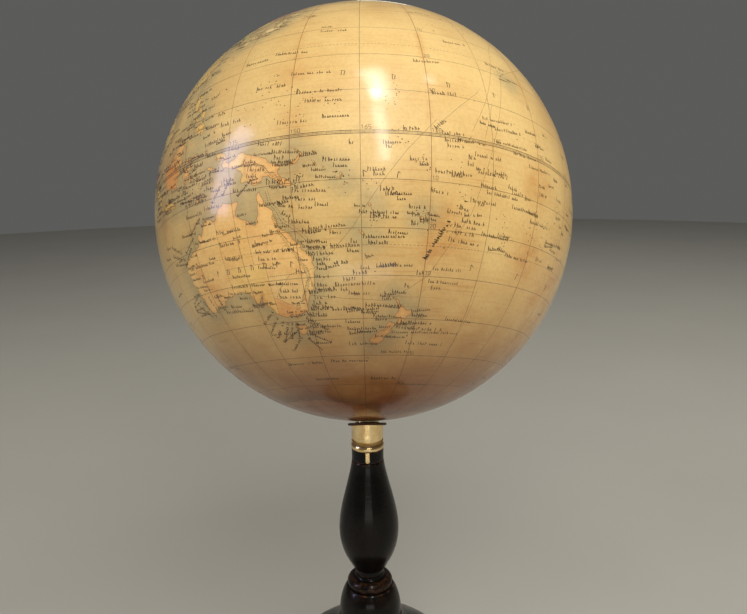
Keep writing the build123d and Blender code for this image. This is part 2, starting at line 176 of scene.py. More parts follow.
coastlines = {
    "australia": "142.5 -10.7 143.2 -12.3 143.6 -14.1 145.3 -15.1 145.9 -17 146.3 -18.9 147.5 "
    "-19.6 148.8 -20.4 149.3 -21.7 150.6 -22.5 150.9 -23.5 152.4 -24.8 153.2 -25.6 153.1 -27 153.6 "
    "-28.7 153.1 -30.4 152.9 -31.5 151.7 -33 151.2 -34 150.2 -36 149.9 -37.5 148.2 -37.9 147 -38.5 "
    "146.4 -39.1 145.4 -38.4 144.9 -37.9 144.4 -38.3 143.5 -38.8 142.2 -38.4 140.9 -38 139.8 -37 "
    "139 -35.9 138.3 -35.6 138.5 -34.8 138.1 -34.2 137.8 -35.1 137.3 -34.9 137.6 -33.8 137.9 -32.6 "
    "137.1 -33.7 135.9 -34.9 135.2 -34.5 134.5 -33.1 133.6 -32.1 131.2 -31.5 129 -31.7 127.2 -32.3 "
    "125.9 -32.3 124.2 -33 123.6 -33.9 120 -33.95 118.3 -34.9 116.6 -35 115.1 -34.3 115.6 -33.3 "
    "115.7 -32 115 -30.5 114.6 -28.8 113.4 -26.4 114.1 -26 113.5 -24.5 113.8 -22.6 114.2 -21.9 "
    "115.4 -21.5 117.2 -20.6 119.1 -20 121 -19.6 122.3 -18.1 122.2 -17.1 122.9 -16.4 123.6 -17.4 "
    "124.4 -16.3 125 -15.1 126.6 -14 127.8 -14.3 128.4 -15.1 129.6 -14.9 129.8 -13.8 130.8 -12.4 "
    "132.6 -11.4 133.4 -11.9 135.2 -12.2 136.8 -12.1 136 -13.7 135.5 -15 137.1 -15.9 139.2 -17.4 "
    "140.7 -17.6 141.3 -16.2 141.6 -14.2 141.7 -12.4",
    "tasmania": "144.7 -40.7 146.4 -41.1 148.2 -40.9 148.2 -42.2 147.8 -43.2 146.8 -43.6 "
    "145.9 -43.4 145.2 -42.3",
    "newGuinea": "130.9 -.9 132.4 -.35 133.9 -.75 134.3 -1.9 134.2 -2.9 135 -3.4 136.1 -2.8 137.5 "
    "-1.7 139.8 -2.4 141 -2.6 142.9 -3.3 144.5 -3.9 145.8 -5.2 147.6 -6 147.9 -6.7 147 -6.8 147.2 "
    "-7.5 148.4 -8.7 149.4 -9.2 150.9 -10.4 149.6 -10.5 148 -10.1 147.2 -9.5 146.3 -8.6 145 -7.8 "
    "143.7 -7.7 143.4 -8.5 142.5 -9.3 141 -9.2 139.8 -8.2 138.5 -8.4 137.8 -8 138.6 -6.9 138.1 "
    "-5.7 137 -4.9 135 -4.4 133.3 -4 132.8 -3.2 133.6 -2.5 132.2 -2.2 131 -1.5",
    "newBritain": "148.4 -5.7 150.9 -5.5 151.5 -4.9 152.2 -4.2 152.1 -5.1 151.3 -5.9 "
    "150.3 -6.3 149 -6.1",
    "newIreland": "150.8 -2.7 152 -3.2 152.9 -4.2 152.9 -4.8 152 -3.6",
    "bougainville": "154.6 -5.4 155.5 -6.1 155.9 -6.9 155.2 -6.6",
    "choiseul": "156.5 -6.6 157.6 -7.3 157.3 -7.5", "isabel": "158.3 -7.6 159.7 -8.4 159.4 -8.6",
    "guadalcanal": "159.6 -9.3 160.8 -9.6 160.5 -10 159.8 -9.8",
    "malaita": "160.6 -8.3 161.4 -9.5 160.9 -9.3",
    "sanCristobal": "161.3 -10.2 162.4 -10.8 161.8 -10.9",
    "santo": "166.6 -14.8 167.2 -15.1 167.1 -15.7 166.6 -15.6",
    "malekula": "167.2 -16 167.7 -16.6 167.3 -16.5", "newCaledonia": "164 -20 165.3 -20.8 167 "
    "-22.2 166.4 -22.3 165 -21.4", "vitiLevu": "177.2 -17.8 178.2 -17.3 178.7 -17.9 178 -18.3",
    "vanuaLevu": "178.4 -16.8 179.9 -16.4 179.4 -17", "hawaii": "204.1 20 205.1 19.5 204.4 18.9",
    "northIsland": "172.7 -34.5 173.4 -34.9 174.4 -35.6 174.8 -36.5 175.5 -36.6 175.9 -37.4 177 "
    "-37.95 178 -37.6 178.4 -37.9 178 -39.1 177 -39.3 176.9 -40.1 176 -41.3 175.2 -41.6 174.8 "
    "-41.3 175.1 -40.4 173.9 -39.6 174 -38.9 174.7 -38.4 174.7 -37.3 173.9 -36 173.1 -35.2",
    "southIsland": "172.6 -40.5 173.1 -41.2 174.2 -41.1 174.1 -41.9 172.9 -43.2 173.1 -43.8 172 "
    "-44.1 171.2 -44.6 170.7 -45.9 169.4 -46.6 168 -46.5 166.6 -46 166.8 -45.4 168.2 -44.2 170.3 "
    "-43.1 171.4 -42.2 172 -41.1",
    "stewart": "167.6 -46.8 168.2 -46.9 167.7 -47.3",
    "borneo": "109.6 2 110.4 1.6 111.3 2.5 113 3.2 114 4.6 115.4 5.5 116.8 7 117.7 6.4 119.2 5.2 "
    "118 4.3 117.8 3.1 118.9 1.1 117.7 .6 117.5 -.8 116.5 -1.8 116.3 -3.2 116 -4 114.6 -4.1 113.5 "
    "-3.3 111.8 -3.5 110.2 -2.9 110 -1.4 109.1 -.4 109 .9",
    "sumatra": "95.3 5.6 97.5 5.2 98.3 4.2 100.3 2.7 101.7 1.9 103.1 .6 103.8 -1 105 -2.4 106.1 "
    "-3.1 105.8 -5.8 104.6 -5.8 102.3 -4 100.4 -1.3 98.8 1.6 97.2 3.3",
    "java": "105.2 -6.8 106.1 -5.95 108.5 -6.6 110.8 -6.4 112.7 -6.9 114.4 -7.8 114.5 -8.7 111.5 "
    "-8.3 108.5 -7.8 106.4 -7.4",
    "celebes": "119.4 -3.4 119 -2.6 119.3 -1.2 119.8 .2 120.9 1.3 123 .95 124.9 1.6 124.3 .4 122.8 "
    ".5 121.2 .45 120.2 -.8 121.4 -.9 123.3 -.7 122.8 -1 121.6 -1.9 122.4 -3.4 122.8 -4.5 121.6 "
    "-4.7 121.4 -3.6 120.8 -2.7 120.4 -3.2 120.4 -5.5 119.5 -5.5",
    "halmahera": "127.5 1 128 2.1 128 1.2 128.7 1.4 128 .4 128.3 -.8 127.7 -.2",
    "ceram": "128 -3.2 129.5 -2.8 130.8 -3.4 130.5 -3.8 128.8 -3.5", "timor": "123.5 -10.3 124.5 "
    "-9.2 127.1 -8.4 126.5 "
    "-8.9 125 -9.7", "flores": "119.8 -8.5 122.9 -8.2 121 -8.9", "sumbawa": "116.8 -8.6 "
    "118.9 -8.3 118.8 -8.8 116.9 -9", "sumba": "119 -9.5 120.8 -10.2 120 -10.3",
    "luzon": "120.6 18.5 122.2 18.4 122.2 16.9 121.6 15.9 121.6 14.3 123.8 13.8 124.1 12.6 122.6 "
    "13.6 120.7 13.8 120.9 14.6 120.1 15 119.9 16.3 120.4 16.9",
    "mindanao": "122 7 123.4 8.7 125.4 9.8 126.4 8.3 126.3 6.5 125.4 5.6 125.5 7 124 6.5 123.8 7.6",
    "samar": "124.3 12.5 125.3 12.5 125.8 11 125 10.2 124.4 11", "panay": "122 11.9 123.1 11.5 "
    "123.3 10 123 9.1 122.4 9.9 122 10.6", "palawan": "117.3 8.4 119.5 11.3 119.3 10.4",
    "formosa": "121 25 121.9 25 121 22 120.2 23", "hainan": "108.7 19.3 110.9 20 110.1 18.4",
    "honshu": "130.9 34 132.7 35.5 135.7 35.6 136.7 37.2 137.2 36.8 138.7 37.4 139.5 38.4 140 39.9 "
    "140.3 41.2 141.4 41.4 142 39.6 141 38.2 140.9 36.9 140.8 35.7 139.8 35 138.8 34.7 137 34.6 "
    "136 33.5 135.1 34.3 133.5 34.4 132.3 33.9",
    "yezo": "140.1 41.5 140.5 43.3 141.7 45.4 143.5 44.2 145.3 43.9 145.5 43.2 143.3 42 141.2 42.5",
    "kyushu": "129.8 33.3 131 33.9 131.9 33.2 131.4 31.4 130.2 31.2 130.2 32.6",
    "shikoku": "132.2 33.4 133.6 34.3 134.7 34.1 134.2 33.3 133 32.8",
    "sakhalin": "142 46 142.1 49 142 51.5 142.7 54.3 143.3 52 143.2 49.3 144.6 49 143.2 47",
    "ceylon": "79.8 9.5 81.3 8.5 81.8 7 80.6 6 79.8 7.2",
    "madagascar": "49.3 -12 50.4 -15.6 49.6 -17 48.4 -20.8 47.1 -24.9 45.2 -25.5 43.7 -23.5 43.3 "
    "-21.8 44.4 -19.9 44.2 -16.5 46.3 -15.8 48 -13.8",
    "eurasia": "25.8 71.1 31 70.3 33 69.4 41 67.7 40.8 66.3 35 66.6 33 66.6 34.8 64.4 38 64.2 40 "
    "65 44 66 44 68.2 46.5 68 48 67.6 54 68.3 60 68.8 61 69.8 66.5 68.6 69 68.8 67 70.5 70 73.2 "
    "72.8 72.8 72.5 71 73.8 68.4 77 68 74.5 71 75 72.7 80 73.6 87 75.1 96 76.1 104.3 77.7 113 75.8 "
    "107 73.2 113 73.8 123 73 129 71.2 132 71.2 139 72.3 150 71.5 160 69.7 170 69 176 69.8 180 69 "
    "184 67.5 190.2 66.1 187 64.3 180 65 177.5 62.5 170.5 60 163.2 58 162.8 56.3 162 54.8 160 53 "
    "156.7 51 155.6 53 155.8 56.5 161.9 60.4 164 62.5 160 61.8 156 61.5 151 59.2 143 59.3 137 55.5 "
    "135.2 54.7 141.2 53 140.5 50 140.4 48 136 44.5 132.3 43.2 130.7 42.3 129.7 41.2 127.5 39.7 "
    "129.4 37 129.2 35.2 126.4 34.4 126.6 37 125 37.8 125.2 39.5 121.6 38.9 121.9 40.8 118 39.1 "
    "117.7 38 119 37.2 122.6 37.3 120.3 36 119.2 34.9 121.7 31.8 121.9 30 121.6 28.3 119.7 26 "
    "117.8 24.2 114.2 22.4 111.8 21.6 110.2 20.4 109.8 21.5 108.1 21.6 105.9 19.8 107.6 16.7 109.2 "
    "13.5 109.2 11.6 107.1 10.4 105.1 8.7 104.8 10.2 102.6 12 100.9 13.4 100 12.5 99.2 9.6 100.4 "
    "7.2 103.4 4.2 104.2 1.4 103.4 1.4 101.3 2.9 100.3 5.8 98.3 8 98.7 11 97.7 15.8 95.4 15.8 94.3 "
    "16.2 94.4 18.8 92 21.2 91.5 22.6 89 21.8 87 21.3 86.8 20.4 85 19.4 82.3 16.7 80.3 15.6 80.2 "
    "13.4 79.8 10.4 78.2 8.9 77.5 8.1 76.3 10 74.8 12.9 73.4 16.2 72.8 19.2 72.7 21.2 70.5 20.8 69 "
    "22.3 70.3 23 67.5 23.9 66.5 25.4 61.7 25.2 57.3 25.6 56.9 27.1 54.7 26.5 51.3 27.9 50 30.1 48 "
    "30 48.2 29 50 26.7 51.6 25.9 51.6 24.4 54.2 24.2 56.3 26.2 56.5 24.5 59.8 22.5 57.8 19 55.2 "
    "17.4 52.2 15.6 48.7 14 45 12.8 43.3 12.7 42.7 15.2 42 17.5 39.1 21.3 37.2 24.6 35.1 28 34.9 "
    "29.5 34.2 27.9 32.6 29.9 32.5 31.2 34.3 31.3 35.1 33.2 36 35.7 36.1 36.8 34 36.3 32.5 36.1 "
    "30.6 36.8 28 36.7 26.5 38.3 26.2 39.9 29.1 40.9 31.5 41.1 35 42 38.3 41 41.5 41.6 38 44.3 "
    "37.5 45.6 39.2 47.2 36.6 45.4 33.5 44.5 33 46 30.7 46.4 28.7 44.6 27.7 42.6 28.9 41.3 26.2 "
    "40.7 23.8 40.7 22.8 40.4 24.1 37.9 22.9 36.6 21.3 37.4 19.4 40.5 19.5 41.8 16.2 43.5 14.5 "
    "45.2 12.5 45.5 12.5 44.2 14 42.4 16.1 41.9 18.5 40.1 17 40.5 16.6 38.8 15.7 38 15.8 40 12.3 "
    "41.7 10.4 43.3 8.8 44.4 6.2 43.1 4 43.5 3.2 42.4 .7 40.8 -.4 39.3 .1 38.7 -2.1 36.8 -5.4 36.1 "
    "-6.4 36.8 -8.9 37 -9.4 38.7 -8.8 41 -9.2 43.1 -4 43.5 -1.7 43.4 -1.2 45.9 -2.5 47.4 -4.7 48.2 "
    "-1.6 48.7 -1.8 49.7 .2 49.6 1.6 50.8 4.2 52 5.5 53.3 8.5 53.6 8.2 56.5 10.6 57.7 10.8 56.2 "
    "9.8 54.9 11 54 14.2 53.9 18.6 54.5 20.8 55.3 21.5 57.3 24 57.1 23.6 58.9 28.5 59.7 27 60.5 "
    "22.9 59.9 21.4 61.2 21.5 63 25.3 65 22.3 65.7 21.3 64.6 17.8 62.5 17.2 60.7 18.8 60 16.7 58.2 "
    "16.2 56.3 14.3 55.6 12.9 55.5 11.3 58.4 10.6 59.3 8.2 58.2 5.5 59 5.2 61.9 10.5 64.3 13 66.3 "
    "15.5 68.4 20 70",
    "caspian": "47 45.5 51 46.8 53 45.3 51.3 44.5 50.3 44.3 52.7 41.6 53.9 39 53.8 37 50 37.4 48.9 "
    "38.5 49.3 40.3 48 42.5 47.2 44",
    "britain": "-5.5 50.1 -3 50.7 1.3 51.2 1.7 52.7 .3 53.1 -1.5 55 -2 56.3 -2 57.6 -3.3 58.6 -5 "
    "58.5 -5.6 56.5 -4.8 54.8 -3 54 -4.4 53.2 -4.2 52.3 -5.2 51.8 -3 51.4",
    "ireland": "-9.8 51.6 -6.3 52.2 -6 53.8 -5.6 54.6 -7.5 55.2 -8.5 54.3 -10 53.9",
    "iceland": "-22.5 63.9 -18.8 63.4 -14.8 64.4 -14.8 66 -18 66.1 -20.5 65.7 -23.5 66.3 -22 64.5",
    "sicily": "12.5 37.8 15.5 38.2 15.1 36.7", "sardinia": "8.3 39 8.4 40.8 9.6 40.8 9.5 39.2",
    "crete": "23.6 35.4 26.2 35.2 24.8 34.9", "novayaZemlya": "52 71 55.5 72.8 57 74.5 62 76 68.5 "
    "76.8 60 75.2 56.5 73 57.5 70.7", "spitsbergen": "11 79 16 80 22 79.8 21 78.4 17 76.7 14 77.7",
    "africa": "-5.9 35.8 -2.1 35.1 3 36.9 9.8 37.3 11 37 10.1 34.4 11.1 33.3 15.2 32.4 19.2 30.3 "
    "20 32.1 23 32.7 25.2 31.6 29 30.9 31 31.6 32.3 31.2 32.5 29.9 33.6 27.8 35.5 24 37.2 21 37.3 "
    "18.9 39.5 15.6 43.1 12.5 43.3 11.5 44.7 10.4 51.2 11.9 50.8 9.5 48 4.5 44 1.1 41.6 -1.7 39.2 "
    "-4.7 39 -7 40.5 -10.5 40.6 -15 36.9 -17.9 34.8 -19.9 35.5 -23.8 32.7 -25.9 32.5 -28.4 30.3 "
    "-31.2 27.1 -33.6 25.7 -34 20 -34.8 18.4 -34.1 18.2 -32 16.5 -28.6 14.5 -22.9 11.8 -17.8 13.8 "
    "-11 12.3 -6 9.3 -2 9.6 1 9.7 3.9 8.5 4.6 6 4.3 4.4 6.3 1.2 6 -2 4.8 -4.5 5.2 -7.7 4.4 -9.1 "
    "5.2 -11.4 6.8 -13.2 8.8 -14.8 11 -16.8 12.6 -17.3 14.7 -16.3 16.5 -16.5 19.4 -17 21 -16 23.7 "
    "-14.5 26.2 -12.8 27.9 -10 29.5 -9.7 31.4 -8.5 33.3 -6.8 34.1",
    "northAmerica": "-168.1 65.6 -163 66.9 -166.5 68.3 -162.5 69.9 -156.6 71.3 -146 70.1 -136.5 "
    "68.9 -129 70 -122 69.8 -115 68.4 -108 68 -101 67.8 -95.5 68.2 -94.5 71.9 -92 70 -88 68.9 "
    "-85.5 69.6 -81.5 69.1 -81.4 67.4 -86.5 66.4 -88 64.3 -93.5 61.6 -94.7 58.8 -92.5 57.1 -88 "
    "56.5 -82.4 55.2 -82.2 52.8 -79.8 51.3 -78.6 52.5 -79.2 54.7 -76.6 57 -78.4 59 -77.5 62.5 "
    "-73.7 62.4 -70 61 -69.4 58.8 -65 60 -61.5 57 -57.3 54.6 -56 52.2 -60 50.2 -66 50.2 -69.5 48 "
    "-71 46.9 -66.5 49 -64.3 48.6 -65 47.2 -63 45.8 -61 45.3 -63.7 44.4 -66 43.5 -66.2 44.8 -70.2 "
    "43.6 -70.7 42 -70 41.7 -73.8 40.6 -74.2 39.4 -75.6 37.2 -76 36.8 -75.5 35.3 -77.8 34 -79.2 "
    "33.1 -81.2 31.6 -81.3 29.8 -80.1 27 -80.4 25.2 -81.8 26.1 -82.7 27.8 -83.9 30 -85.3 29.7 -88 "
    "30.3 -89.4 29.2 -91.5 29.4 -94.6 29.4 -97.1 27.8 -97.6 25 -97.7 22.3 -96.2 19.2 -94.5 18.2 "
    "-91.8 18.5 -90.5 20.8 -87 21.5 -87.6 19 -88.4 16.5 -85.9 15.9 -83.3 14.9 -83.7 11.2 -82.2 9.1 "
    "-79.7 9.5 -77.6 8.8 -78.2 8.2 -79.5 8.9 -80.4 7.4 -82.8 8.2 -83.7 8.6 -85.7 10 -87.5 12.9 "
    "-91.4 13.9 -94.6 16.2 -96.6 15.7 -101.6 17.6 -105.3 19.9 -105.6 22.3 -108 25 -109.5 26.8 "
    "-112.3 29.3 -113.1 31.1 -114.8 31.7 -112.8 28.2 -110.7 24.4 -109.5 23.1 -112 24.6 -113.2 26.7 "
    "-115 28 -116.7 31.6 -117.3 33 -118.5 34 -120.6 34.6 -121.9 36.6 -123.7 38.9 -124.3 40.4 "
    "-124.1 43 -123.9 46.2 -124.7 48.4 -122.5 47.4 -122.9 49.1 -127.4 50.9 -130.2 54.4 -133.5 58.2 "
    "-137 58.9 -139.8 59.7 -144 60 -148 60.8 -151.5 59.3 -153.9 58.8 -158 56.6 -163 54.8 -160.5 "
    "56.2 -157.7 57.7 -158.5 58.8 -162 58.8 -165.5 61.3 -164.5 63.1 -161 64.3 -166 64.6",
    "vancouver": "-128.3 50.7 -125 49.8 -123.5 48.4 -125.5 48.8",
    "charlotte": "-133 54 -131.7 54 -131.2 52.2",
    "newfoundland": "-59.3 47.7 -57 50.7 -55.6 51.5 -55.9 49.8 -53.5 49.2 -52.9 46.9 -55.5 46.9",
    "baffin": "-80.5 73.7 -76 72.8 -68.5 70.4 -67 69 -62 67 -61.8 66.5 -65 62 -71 63 -74 64.6 -78 "
    "65 -73 68.2 -79 70 -88 70.5 -89.5 73.4",
    "victoria": "-117 69.9 -105 69.1 -102 70 -105 72.8 -114 73.3 -118.5 71.5", "banks": "-125 72 "
    "-123 71.3 -119 72.5 -121.5 74.4 "
    "-124.5 74.3", "ellesmere": "-90 76.5 -80 76.3 -75 78.5 -62 82.3 -70 "
    "83.1 -88 82 -92 81 -87 79", "devon": "-96 76.7 -80 75.7 -81 74.6 -92 74.8",
    "greenland": "-73 78.2 -66 79.8 -60 82 -45 82.5 -32 83.5 -22 82 -18 80 -19 76 -22 73 -22 70.4 "
    "-26 68.6 -33 67.8 -38 65.8 -41 63 -43 60 -45.5 60 -49 61.5 -51.5 64 -53.5 66.5 -53 68.5 -51 "
    "69.8 -54.5 71 -58 75.2 -68 76.1",
    "cuba": "-84.9 21.9 -82 23.1 -79 22.7 -75.5 21 -74.2 20.2 -77.5 19.9 -78 20.7 -81.8 22.2",
    "hispaniola": "-74.4 18.4 -73 19.9 -70 19.8 -68.4 18.6 -70.7 18.3",
    "southAmerica": "-77.4 8.6 -75.6 10.7 -74.9 11.1 -71.7 12.4 -71.3 11 -70 12.1 -68 10.6 -64.5 "
    "10.2 -61.9 10.7 -60.8 8.9 -57.5 6.3 -51.7 4.1 -50 1.2 -48.5 -.8 -44.3 -2.5 -40 -2.9 -35.4 "
    "-5.2 -34.8 -8 -37.3 -11.5 -39 -13 -39 -17 -40.9 -21.9 -44.8 -23.3 -48.4 -25.6 -48.7 -28.3 "
    "-50.3 -30.5 -53.5 -34 -56.2 -34.9 -58.4 -34 -57 -36.4 -57.7 -38.1 -62.2 -38.9 -62.3 -41 -65 "
    "-41.1 -63.7 -42.7 -65.3 -45 -67.5 -46.1 -65.8 -47.8 -69 -50.9 -68.3 -52.3 -71 -53.8 -74 -51 "
    "-75.5 -48 -73.4 -44 -73.7 -41 -73.4 -37.3 -71.6 -33 -71.4 -30 -70.4 -25 -70.3 -18.4 -76 -14 "
    "-77.2 -12 -79.8 -7.6 -81.3 -4.8 -80 -3 -80.9 -1 -80 .8 -78.7 1.6 -77.3 3.9 -77.5 6.5",
    "fuego": "-68.7 -52.7 -65.2 -54.7 -68.5 -55.5 -73.5 -53.5 -70.5 -53.2",
    "falklands": "-61 -51.5 -57.8 -51.7 -59 -52.3 -60.8 -52.1",
    "antarctica": "-180 -78 -165 -78.2 -150 -76.5 -130 -74 -115 -74 -100 -73 -85 -73 -73 -72.5 -67 "
    "-68 -60 -64 -57 -63.5 -62 -68 -61 -73 -70 -77 -60 -77 -35 -78 -25 -75 -10 -71.5 10 -70 35 -69 "
    "50 -66.5 70 -68.5 80 -67.5 100 -66 115 -66.5 135 -66.3 150 -68.5 165 -71 170 -73 165 -77 180 "
    "-78 180 -90 -180 -90",
}


def pairs(text, columns=2):
    return np.array(text.split(), float).reshape(-1, columns)


def narrowing(latitude):
    return math.cos(math.radians(latitude))


def roughEdge(start, end, longest=0.4, wander=0.1):
    shrink = max(narrowing((start[1] + end[1]) / 2), 0.15)
    east, north = (end[0] - start[0]) * shrink, end[1] - start[1]
    length = math.hypot(east, north)
    if length < longest:
        return [start]
    push = chance.normal() * wander
    middle = ((start[0] + end[0]) / 2 - north * push / shrink, (start[1] + end[1]) / 2 + east
              * push)
    return roughEdge(start, middle, longest, wander) + roughEdge(middle, end, longest, wander)


def roughLine(points, closed=True):
    rough = []
    for number, start in enumerate(points if closed else points[:-1]):
        end = points[(number + 1) % len(points)]
        hidden = start[1] < -89 or end[1] < -89
        rough += [tuple(start)] if hidden else roughEdge(tuple(start), tuple(end))
    return np.array(rough if closed else rough + [tuple(points[-1])])


roughCoasts = {name: roughLine(pairs(text)) for name, text in coastlines.items()}
print("stage 2: coasts drawn,", sum(len(c) for c in roughCoasts.values()), "points")


def unitPlace(longitude, latitude):
    turn, height = np.radians(longitude), np.radians(latitude)
    return np.stack([np.cos(height) * np.cos(turn), np.cos(height) * np.sin(turn), np.sin(height)],
                    -1)


coastStarts = np.concatenate(list(roughCoasts.values()))
coastEnds = np.concatenate([np.roll(c, -1, 0) for c in roughCoasts.values()])
coastBefore = np.concatenate([np.roll(c, 1, 0) for c in roughCoasts.values()])
coastTree = kdtree.KDTree(len(coastStarts))
for number, place in enumerate(unitPlace(coastStarts[:, 0], coastStarts[:, 1])):
    if coastStarts[number, 1] > -88:
        coastTree.insert(place, number)
coastTree.balance()


def onLand(longitudes, latitudes):
    # a row of answers for each latitude: ashore is where an odd number of coasts lie west
    rows = []
    for latitude in latitudes:
        low, high = coastStarts[:, 1], coastEnds[:, 1]
        cut = (low <= latitude) != (high <= latitude)
        share = (latitude - low[cut]) / (high[cut] - low[cut])
        crossing = coastStarts[cut, 0] + share * (coastEnds[cut, 0] - coastStarts[cut, 0])
        crossing = np.sort(np.concatenate([crossing - 360, crossing, crossing + 360]))
        rows.append(np.searchsorted(crossing, longitudes) % 2 == 1)
    return np.array(rows)


def fromSegment(place, start, end):
    along = end - start
    share = np.clip(((place - start) * along).sum(-1) / np.maximum((along ** 2).sum(-1), 1e-18), 0,
                    1)
    return np.linalg.norm(place - start - along * share[:, None], axis=-1)


def coastDistance(longitudes, latitudes):
    # degrees from the nearest coast, positive ashore
    east, north = np.meshgrid(longitudes, latitudes)
    place = unitPlace(east.ravel(), north.ravel())
    nearest = np.array([coastTree.find(p)[1] for p in place])
    here = unitPlace(*coastStarts[nearest].T)
    distance = np.minimum(
        fromSegment(place, here, unitPlace(*coastEnds[nearest].T)),
        fromSegment(place, here, unitPlace(*coastBefore[nearest].T)),
    )
    return np.degrees(distance).reshape(east.shape) * np.where(onLand(longitudes, latitudes), 1, -1)


# hand-coloured washes: a letter for each tint and the seeds of the countries that wear it

washes = {
    "p": tone(238, 190, 118), "o": tone(234, 170, 96), "r": tone(226, 168, 124),
    "s": tone(238, 202, 120),
    "g": tone(198, 190, 122), "b": tone(238, 212, 152),
}
countries = (
    "r 40 55 r 60 58 r 80 60 r 100 62 r 120 64 r 140 64 r 160 66 r 178 66 r 52 66 r 30 60 r 135 50 "
    "r 45 48 r 70 50 r 110 54 r 190 66 s 100 32 s 112 32 s 118 44 s 90 44 s 85 38 s 105 40 s 125 "
    "44 s 88 31 b 138 37 b 143 43 b 131 33 g 127 38 r 78 22 r 75 28 r 86 24 r 78 12 r 72 26 r 94 "
    "24 r 80 17 r 96 20 g 101 15 s 106 17 s 107 11 r 102 4 g 54 33 g 60 30 g 50 36 b 45 24 b 48 18 "
    "b 42 28 b 54 20 b 47 29 p 35 39 p 30 39 p 42 38 p 38 35 s 66 34 g 65 42 g 10 51 g 18 53 p 2 "
    "47 s -4 40 b -8 40 r 12 43 r 16 40 p 17 47 g 22 42 s 26 46 s 15 62 g 25 66 b 10 60 r -2 54 r "
    "-8 53 b -19 65 g -6 32 p 3 30 b 17 28 r 29 27 s 30 15 p -5 17 p 8 16 p 18 14 g 39 8 b 45 5 s "
    "23 -2 s 24 -8 r 37 0 g 36 -7 b 17 -12 g 17 -22 r 29 -16 b 35 -18 b 38 -13 r 24 -31 p 28 -27 p "
    "47 -19 r 8 9 g -1 8 b -9 7 g 13 5 p 13 -1 p 18 6 r -100 56 r -120 58 r -75 52 r -85 50 r -110 "
    "66 r -95 72 r -65 56 r -75 68 s -152 65 s -160 60 g -98 39 g -112 38 g -85 38 g -75 42 g -108 "
    "44 g -90 32 g -82 30 g -95 46 g -120 42 o -102 24 o -98 18 o -110 28 b -87 14 s -84 10 b -79 "
    "22 s -73 5 p -66 7 r -57 4 g -55 -10 g -42 -10 g -50 -20 g -65 -6 g -60 0 p -75 -8 b -78 -1.5 "
    "s -64 -17 r -71 -30 r -72 -42 r -69 -22 b -65 -34 b -68 -45 b -61 -27 p -58 -23 s -56 -33 b "
    "-42 72 p 147 -42 s 136 -4 p 143 -5 p 147 -9 p 175 -39 p 171 -44 p 116 3 o 112 -1 s 102 0 s "
    "110 -7 p 121 -2 s 122 13 s 125 8 b 0 -80 b 90 -75 b 180 -80 b -90 -78"
).split()
seedTints = np.array([washes[t] for t in countries[::3]])
seedPlaces = unitPlace(np.array(countries[1::3], float), np.array(countries[2::3], float))
stateTints = {"west": tone(248, 204, 128), "north": tone(246, 198, 120),
              "middle": tone(248, 206, 124),
              "queens": tone(248, 202, 128), "wales": tone(248, 208, 136),
              "corner": tone(240, 184, 112)}

stateBounds = (112, 154.5, -39.6, -10.4)  # west, east, south and north


def landTints(longitudes, latitudes):
    # the nearest seed's tint, and how far the border with the next tint is
    east, north = np.meshgrid(longitudes, latitudes)
    bend = 0.6 * np.sin(north * 0.9 + east * 0.31) + 0.25 * np.sin(north * 2.3 - east * 1.1)
    sway = 0.6 * np.sin(east * 0.8 - north * 0.27) + 0.25 * np.sin(east * 2.1 + north * 0.9)
    wandered = east + bend, north + sway
    place = unitPlace(wandered[0].ravel(), wandered[1].ravel())
    apart = np.degrees(np.arccos(np.clip(place @ seedPlaces.T, -1, 1)))
    nearest = apart.argmin(1)
    tint = seedTints[nearest]
    other = (seedTints[None] != tint[:, None]).any(-1)
    gap = np.where(other, apart, 99).min(1) - apart.min(1)
    tint, gap = tint.reshape(*east.shape, 4).copy(), gap.reshape(east.shape)
    left, right, bottom, top = stateBounds
    inside = (east > left) & (east < right) & (north < top) & (north > bottom)
    murray = -34.0 - (east - 141) * 0.39
    states = [
        ("west", east < 129), ("north", (east < 138) & (north > -26)),
        ("middle", (east < 141) & (north < -26)),
        ("queens", north > np.where(east < 149, -29, -28.4)), ("wales", north > murray),
        ("corner", east > 0),
    ]
    free = inside.copy()
    for name, where in states:
        tint[free & where] = stateTints[name]
        free &= ~where
    gap[inside] = 20
    return tint, gap


# age stains: longitude, latitude, width and strength

stains = pairs("184 -16 3.4 .4 182.6 -20.5 3 .5 180.8 -25 3.2 .5 186 -24 5 .4 152 -8 6 .25 150.4 "
               "-20 3 .4 150.2 4 2.5 .5 150 16 4 .5 210 -6 5 .8 209.4 -22 6 .7 196 -42 9 .5 226 "
               "-30 9 .6 166 -62 14 .5 122 -30 4 .55 120 -26 3 .5 145 -36.5 3 .3 139 -33 3 .5 112 "
               "2 6 .6 108 -10 5 .6 -20 30 9 .5 -40 -25 12 .5 20 10 8 .4 75 -35 12 .5 60 5 8 .4 "
               "-90 25 9 .5 -130 -50 12 .5 -8 -50 12 .5 240 10 9 .4 90 60 9 .3", 4)


def ageStains(longitudes, latitudes):
    east, north = np.meshgrid(longitudes, latitudes)
    place = unitPlace(east.ravel(), north.ravel())
    total = np.zeros(len(place))
    for longitude, latitude, width, strength in stains:
        away = np.degrees(np.linalg.norm(place - unitPlace(longitude, latitude), axis=-1))
        total += strength * np.exp(-((away / width) ** 2))
    return np.clip(total, 0, 1).reshape(east.shape)


